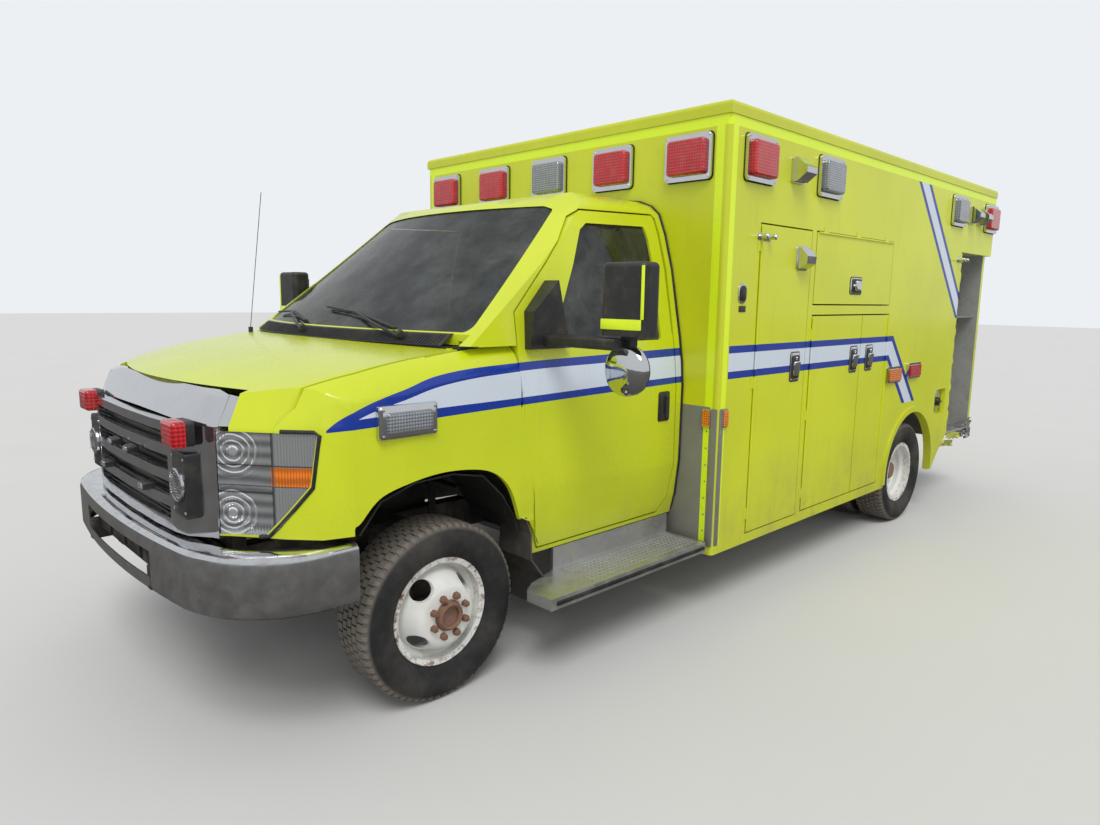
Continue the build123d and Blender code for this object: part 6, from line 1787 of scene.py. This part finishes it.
def pad(shape, place, size, crown, edge, seams=()):
    """Stuffed pad: rounded block with a crowned face, piping round it and sewn seams across it."""
    wide, long_side, high = size
    made = bmesh.new()
    grid = {}
    for i in range(PAD_STEPS + 1):
        for j in range(PAD_STEPS + 1):
            u, v = 2 * i / PAD_STEPS - 1, 2 * j / PAD_STEPS - 1
            x = wide / 2 * math.copysign(abs(u) ** 0.8, u)
            y = long_side / 2 * math.copysign(abs(v) ** 0.8, v)
            fall = max(0.0, 1 - abs(u) ** 6) * max(0.0, 1 - abs(v) ** 6)
            z = high + crown * (1 - u * u) * (1 - v * v) - edge * (1 - fall ** 0.35)
            for seam in seams:
                z -= 0.008 * math.exp(-((v - seam) / 0.05) ** 2)
            grid[i, j] = made.verts.new((x, y, z))
    for i in range(PAD_STEPS):
        for j in range(PAD_STEPS):
            made.faces.new((grid[i, j], grid[i + 1, j], grid[i + 1, j + 1], grid[i, j + 1]))
    rim = [grid[i, j] for j, i in rim_cells(PAD_STEPS)]
    before = rim
    for grow, level in PAD_SIDE:
        ring = [made.verts.new((v.co.x * grow, v.co.y * grow, high * level)) for v in rim]
        for k in range(len(ring)):
            other = (k + 1) % len(ring)
            made.faces.new((before[other], before[k], ring[k], ring[other]))
        before = ring
    made.faces.new(before[::-1])
    bmesh.ops.recalc_face_normals(made, faces=made.faces[:])
    piping = [place @ (v.co + Vector((0, 0, 0.002))) for v in rim]
    shape.take(made, place)
    shape.tube(piping + piping[:1], 0.0042, 6)


SEAT_Y = 0.480
SEAMS = (-0.55, 0.55)
# Place, lean, size, crown, rounding and seams of seat, back and headrest
SEAT_PADS = [(-1.150, 0.885, -0.06, (0.360, 0.470, 0.100), 0.022, 0.03, SEAMS),
             (-1.400, 1.240, math.pi / 2 - 0.12, (0.600, 0.440, 0.055), 0.024, 0.03, SEAMS),
             (-1.410, 1.690, math.pi / 2 - 0.03, (0.180, 0.245, 0.050), 0.012, 0.02, ())]
BENCH_PADS = 3
BENCH_START_X = -4.735
BENCH_LONG = 1.770
BENCH_PAD_PLACE = (-0.8945, 1.291)


def tilted(x, y, z, angle):
    """Place leaning back about the vehicle's width."""
    return Matrix.Translation(at(x, y, z)) @ Matrix.Rotation(angle, 4, "Y")


class AMBULANCE_OT_upholstery(bpy.types.Operator):
    """Cab seats and the squad bench, in place of the plain blocks"""

    bl_idname = "ambulance.upholstery"
    bl_label = "Upholstery"

    def execute(self, context):
        seats, stands = Shape(), Shape()
        for sign in SIDES.values():
            y = sign * SEAT_Y
            for x, z, angle, size, crown, edge, seams in SEAT_PADS:
                pad(seats, tilted(x, y, z, angle), size, crown, edge, seams)
            stands.prism(rounded(0.300, 0.340, 0.02), Matrix.Translation(at(-1.165, y, 0.702)), 0.180, 0.01)
            for offset in (-0.06, 0.06):
                stands.tube([at(-1.385, y + offset, 1.520), at(-1.392, y + offset, 1.640)], 0.006)
        seat_piece = seats.piece("seat_pads", "seat_cloth", "body", "seat_cloth")
        stand_piece = stands.piece("seat_stands", "black_plastic", "body", "black_plastic")
        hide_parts("cab_seats")
        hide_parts("cab_seats")
        bench, box = Shape(), Shape()
        box.take(bench_box())
        for index in range(BENCH_PADS):
            middle = BENCH_START_X + BENCH_LONG * (index + 0.5) / BENCH_PADS
            place = Matrix.Translation(at(middle, *BENCH_PAD_PLACE))
            pad(bench, place, (0.583, 0.548, 0.052), 0.006, 0.012)
        bench_piece = bench.piece("bench_pads", "vinyl", "body", "cushion_vinyl")
        box_piece = box.piece("bench_box", "liner", "body", "white_liner")
        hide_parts("squad_bench")
        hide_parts("squad_bench")
        return {"FINISHED"}


BENCH_LID_Z = 1.2895


def bench_box():
    """The bench's cabinet, without the cushion that lies on it."""
    bm = merged_copy("squad_bench")
    everything = bm.verts[:] + bm.edges[:] + bm.faces[:]
    lid = {"plane_co": (0, 0, BENCH_LID_Z), "plane_no": (0, 0, 1)}
    cut = bmesh.ops.bisect_plane(bm, geom=everything, clear_outer=True, **lid)
    edges = [item for item in cut["geom_cut"] if isinstance(item, bmesh.types.BMEdge)]
    bmesh.ops.holes_fill(bm, edges=edges)
    return bm


# Damage at the rear left corner
TORN_STEPS = 46
TORN_HEIGHTS = (0.56, 2.000)
TORN_EDGE = (-4.781, 1.2165)
TORN_SKIRT = [(-4.790, 1.2175, 0.640), (-4.620, 1.2175, 0.640), (-4.640, 1.190, 0.395),
              (-4.900, 1.150, 0.430)]
TORN_STRIPS = [(-5.380, -4.900, 1.200, 0.560), (-5.440, -5.050, 1.130, 0.470)]
CRUSHED = [[(-5.460, 1.200, 0.640), (-4.980, 1.160, 0.620), (-5.020, 1.080, 0.500), (-5.440, 1.130, 0.500)],
           [(-5.470, 1.060, 0.600), (-5.470, 1.200, 0.610), (-5.440, 1.190, 0.450), (-5.450, 1.080, 0.460)],
           [(-4.800, 1.190, 0.700), (-4.980, 1.120, 0.700), (-4.980, 1.110, 0.560), (-4.800, 1.180, 0.520)]]
WIRES = 6
WIRE_STEPS = 12


class AMBULANCE_OT_damage(bpy.types.Operator):
    """Torn flange, bent strips, crushed sheet and loose wires in the knocked corner"""

    bl_idname = "ambulance.damage"
    bl_label = "Damage"

    def execute(self, context):
        rng = random.Random(SEED)
        torn = Shape()
        rings = []
        low_z, high_z = TORN_HEIGHTS
        for step in range(TORN_STEPS + 1):
            z = low_z + (high_z - low_z) * step / TORN_STEPS
            curl = 0.010 + 0.012 * math.sin(step * 0.9) + rng.uniform(-0.006, 0.006)
            reach = 0.020 + rng.uniform(0, 0.022) * (1.4 - z / 2)
            x, y = TORN_EDGE
            rail = [(x, y), (x - reach * 0.5, y + curl * 0.2), (x - reach, y - curl)]
            inner = [(x, y - 0.002) for x, y in reversed(rail)]
            rings.append([at(x, y, z) for x, y in rail + inner])
        torn.take(loft(rings))
        patch(torn, [at(*corner) for corner in TORN_SKIRT], 0.002, 9, 0.012, rng)
        for low_x, high_x, y, z in TORN_STRIPS:
            strip = [(high_x, y, z), (low_x, y - 0.05, z - 0.05), (low_x, y - 0.06, z - 0.11),
                     (high_x, y - 0.01, z - 0.045)]
            patch(torn, [at(*corner) for corner in strip], 0.002, 7, 0.010, rng)
        torn.piece("torn_flange", "module_paint", "body", "yellow_paint", 0.4)
        crushed = Shape()
        for sheet in CRUSHED:
            patch(crushed, [at(*corner) for corner in sheet], 0.002, 10, 0.016, rng)
        crushed.piece("crushed_sheet", "aluminium", "body", "bare_steel", 0.35)
        wires = Shape()
        for index in range(WIRES):
            x, y, z = -5.30 + 0.05 * index, 1.00 + 0.02 * (index % 3), 1.990
            swing = rng.uniform(-0.06, 0.06)
            drop = rng.uniform(0.25, 0.75)
            points = []
            for share in (step / WIRE_STEPS for step in range(WIRE_STEPS + 1)):
                sway = 0.05 * share ** 2 + 0.01 * math.sin(share * 7)
                points.append(at(x + swing * math.sin(share * 2.4), y + sway, z - drop * share))
            wires.tube(points, 0.003 + 0.001 * (index % 2), 6)
        wires.piece("loose_wires", "seal", "body", "black_plastic")
        return {"FINISHED"}


# Camera, fitted to the photograph
CAMERA_PLACE = (1.69834, 3.281999, 1.61934)
CAMERA_YAW = -2.344
CAMERA_PITCH = -0.152
CAMERA_ROLL = 0.014
CAMERA_LENS = 24.645
CAMERA_SENSOR = 36.0


def make_camera():
    """Camera at the photograph's place and angle."""
    level = math.cos(CAMERA_PITCH)
    forward = Vector((level * math.cos(CAMERA_YAW), level * math.sin(CAMERA_YAW), math.sin(CAMERA_PITCH)))
    right = forward.cross(Vector((0, 0, 1))).normalized()
    up = right.cross(forward)
    turned = right * math.cos(CAMERA_ROLL) + up * math.sin(CAMERA_ROLL)
    upright = up * math.cos(CAMERA_ROLL) - right * math.sin(CAMERA_ROLL)
    data = bpy.data.cameras.new("camera")
    data.sensor_fit = "HORIZONTAL"
    data.sensor_width = CAMERA_SENSOR
    data.lens = CAMERA_LENS
    data.clip_end = 200
    camera = linked("camera", data)
    axes = Matrix((turned, upright, -forward)).transposed().to_4x4()
    camera.matrix_world = Matrix.Translation(at(*CAMERA_PLACE)) @ axes
    bpy.context.scene.camera = camera


FLOOR_HALF = 60.0
FLOOR_MIRRORED = (0.085, 0.078, 0.07)
SKY_LIGHT = (0.94, 0.97, 1.0)


def make_floor(settings):
    """Pale floor with a faint texture, that shows dark in polished metal."""
    shader = Shader("floor_pale")
    skin = shader.mix(shader.noise(0.8, 5), shade(settings.floor, 0.97), shade(settings.floor, 1.03))
    rough = 0.75 + shader.noise(20, 2) * 0.1
    pale = shader.add("ShaderNodeBsdfPrincipled", inputs={"Base Color": skin, "Roughness": rough})
    shadow = {"Base Color": (*FLOOR_MIRRORED, 1), "Roughness": 0.9}
    dark = shader.add("ShaderNodeBsdfPrincipled", inputs=shadow)
    mirrored = shader.add("ShaderNodeLightPath", output="Is Glossy Ray")
    shader.add_output(shader.add("ShaderNodeMixShader", inputs={0: mirrored, 1: pale, 2: dark}))
    mesh = bpy.data.meshes.new("floor")
    corners = [(x, y, 0) for x, y in box_outline(2 * FLOOR_HALF, 2 * FLOOR_HALF)]
    mesh.from_pydata(corners, [], [(0, 1, 2, 3)])
    mesh.materials.append(shader.material)
    floor = linked("floor", mesh)


def make_world(settings):
    """Pale sky for the camera and reflections, soft light for the rest."""
    world = bpy.data.worlds.new("sky")
    bpy.context.scene.world = world
    world.use_nodes = True
    nodes, links = world.node_tree.nodes, world.node_tree.links
    nodes.clear()
    path = nodes.new("ShaderNodeLightPath")
    seen = nodes.new("ShaderNodeBackground")
    seen.inputs["Color"].default_value = rgba(settings.sky)
    lit = nodes.new("ShaderNodeBackground")
    lit.inputs["Color"].default_value = (*SKY_LIGHT, 1)
    lit.inputs["Strength"].default_value = settings.light
    mixed = nodes.new("ShaderNodeMixShader")
    output = nodes.new("ShaderNodeOutputWorld")
    links.new(path.outputs["Is Camera Ray"], mixed.inputs[0])
    links.new(lit.outputs[0], mixed.inputs[1])
    links.new(seen.outputs[0], mixed.inputs[2])
    links.new(mixed.outputs[0], output.inputs["Surface"])


LIGHT_ANGLE = math.radians(28)
LIGHT_FROM = Vector((0.45, 0.55, 1.0))


def make_light(settings):
    """One very soft main light, high on the left and ahead."""
    data = bpy.data.lights.new("main_light", "SUN")
    data.energy = settings.sun
    data.angle = LIGHT_ANGLE
    light = linked("main_light", data)
    light.rotation_euler = LIGHT_FROM.to_track_quat("Z", "Y").to_euler()


# Operators
class AMBULANCE_OT_stage(bpy.types.Operator):
    """Camera, floor, sky and light"""

    bl_idname = "ambulance.stage"
    bl_label = "Stage"

    def execute(self, context):
        settings = context.scene.ambulance.stage
        make_camera()
        make_floor(settings)
        make_world(settings)
        make_light(settings)
        context.scene.view_settings.view_transform = "Standard"
        return {"FINISHED"}


class AMBULANCE_OT_finishes(bpy.types.Operator):
    """A finish for every solid of the part"""

    bl_idname = "ambulance.finishes"
    bl_label = "Finishes"

    def execute(self, context):
        make_materials(context.scene.ambulance)
        for name, node in NODES.items():
            node.data.materials.clear()
            node.data.materials.append(MATERIALS[FINISH_OF.get(name, "module_paint")])
        return {"FINISHED"}


# Where the lenses of one colour lie
HIGH_LAMP_Z = 2.0
SIDE_LAMP_Y = 1.2
FRONT_LAMP_X = -2.0
REAR_SIDE_LAMP_X = -5.2
FRONT_CLEAR_Y = 0.2
REAR_CLEAR_Y = 0.6
REAR_LAMP_X = -5.4
REAR_RED_Z = 1.25
REAR_AMBER_Z = 1.09
RED_MARKER_X = -3.8


def lamp_colour(low, high):
    """Colour of a lens, from where it is."""
    x, y, z = (low + high) / 2 - at(0, 0, 0)
    side = abs(y) > SIDE_LAMP_Y
    if z > HIGH_LAMP_Z:
        if side:
            return "red" if x > FRONT_LAMP_X or x < REAR_SIDE_LAMP_X else "clear"
        return "clear" if abs(y) < (FRONT_CLEAR_Y if x > FRONT_LAMP_X else REAR_CLEAR_Y) else "red"
    if x < REAR_LAMP_X:
        return "red" if z > REAR_RED_Z else "amber" if z > REAR_AMBER_Z else "clear"
    return "red" if x < RED_MARKER_X and side else "amber"


class AMBULANCE_OT_lamps(bpy.types.Operator):
    """Lenses by colour"""

    bl_idname = "ambulance.lamps"
    bl_label = "Lamps"

    def execute(self, context):
        finishes = {key: f"{key}_lens" for key in ("red", "amber", "clear")}
        slots = {"red": "lens_red", "amber": "lens_red", "clear": "lamp_glass"}
        split_node("lamp_lenses", lamp_colour, finishes, "body", slots)
        return {"FINISHED"}


WINDOW_PANE = 0.012


def pane_or_leaf(low, high):
    """A pane is thin one way; a leaf isn't."""
    return "glass" if min(high - low) < WINDOW_PANE else "leaf"


class AMBULANCE_OT_glazed_doors(bpy.types.Operator):
    """Leaf and pane of each door with a window"""

    bl_idname = "ambulance.glazed_doors"
    bl_label = "Glazed doors"

    def execute(self, context):
        finishes = {"glass": "window", "leaf": "module_paint"}
        slots = {"glass": "window_glass", "leaf": "yellow_paint"}
        for node in SPLIT_DOORS:
            split_node(node, pane_or_leaf, finishes, node, slots)
        return {"FINISHED"}


OPERATORS = [
    AMBULANCE_OT_stage,
    AMBULANCE_OT_finishes,
    AMBULANCE_OT_lamps,
    AMBULANCE_OT_glazed_doors,
    AMBULANCE_OT_sheet,
    AMBULANCE_OT_tyres,
    AMBULANCE_OT_front,
    AMBULANCE_OT_wheels,
    AMBULANCE_OT_cowl,
    AMBULANCE_OT_fittings,
    AMBULANCE_OT_tread,
    AMBULANCE_OT_seals,
    AMBULANCE_OT_lamp_trim,
    AMBULANCE_OT_upholstery,
    AMBULANCE_OT_damage,
]


class AMBULANCE_PT_panel(bpy.types.Panel):
    """Steps of the dressing, in order"""

    bl_idname = "AMBULANCE_PT_panel"
    bl_label = "Ambulance"
    bl_space_type = "VIEW_3D"
    bl_region_type = "UI"
    bl_category = "Ambulance"

    def draw(self, context):
        for step in OPERATORS:
            self.layout.operator(step.bl_idname)
        settings = context.scene.ambulance
        for group in (settings.paint, settings.lamps, settings.tyres, settings.stage):
            for key in group.bl_rna.properties.keys():
                if key not in ("rna_type", "name"):
                    self.layout.prop(group, key)


GROUPS = [AmbulancePaint, AmbulanceLamps, AmbulanceTyres, AmbulanceStage, AmbulanceSettings]


def register():
    for item in GROUPS + OPERATORS + [AMBULANCE_PT_panel]:
        bpy.utils.register_class(item)
    bpy.types.Scene.ambulance = PointerProperty(type=AmbulanceSettings)


def unregister():
    del bpy.types.Scene.ambulance
    for item in reversed(GROUPS + OPERATORS + [AMBULANCE_PT_panel]):
        bpy.utils.unregister_class(item)


def main():
    """Makes everything in order."""
    register()
    for step in OPERATORS:
        group, name = step.bl_idname.split(".")
        getattr(getattr(bpy.ops, group), name)()


if __name__ == "__main__":
    main()
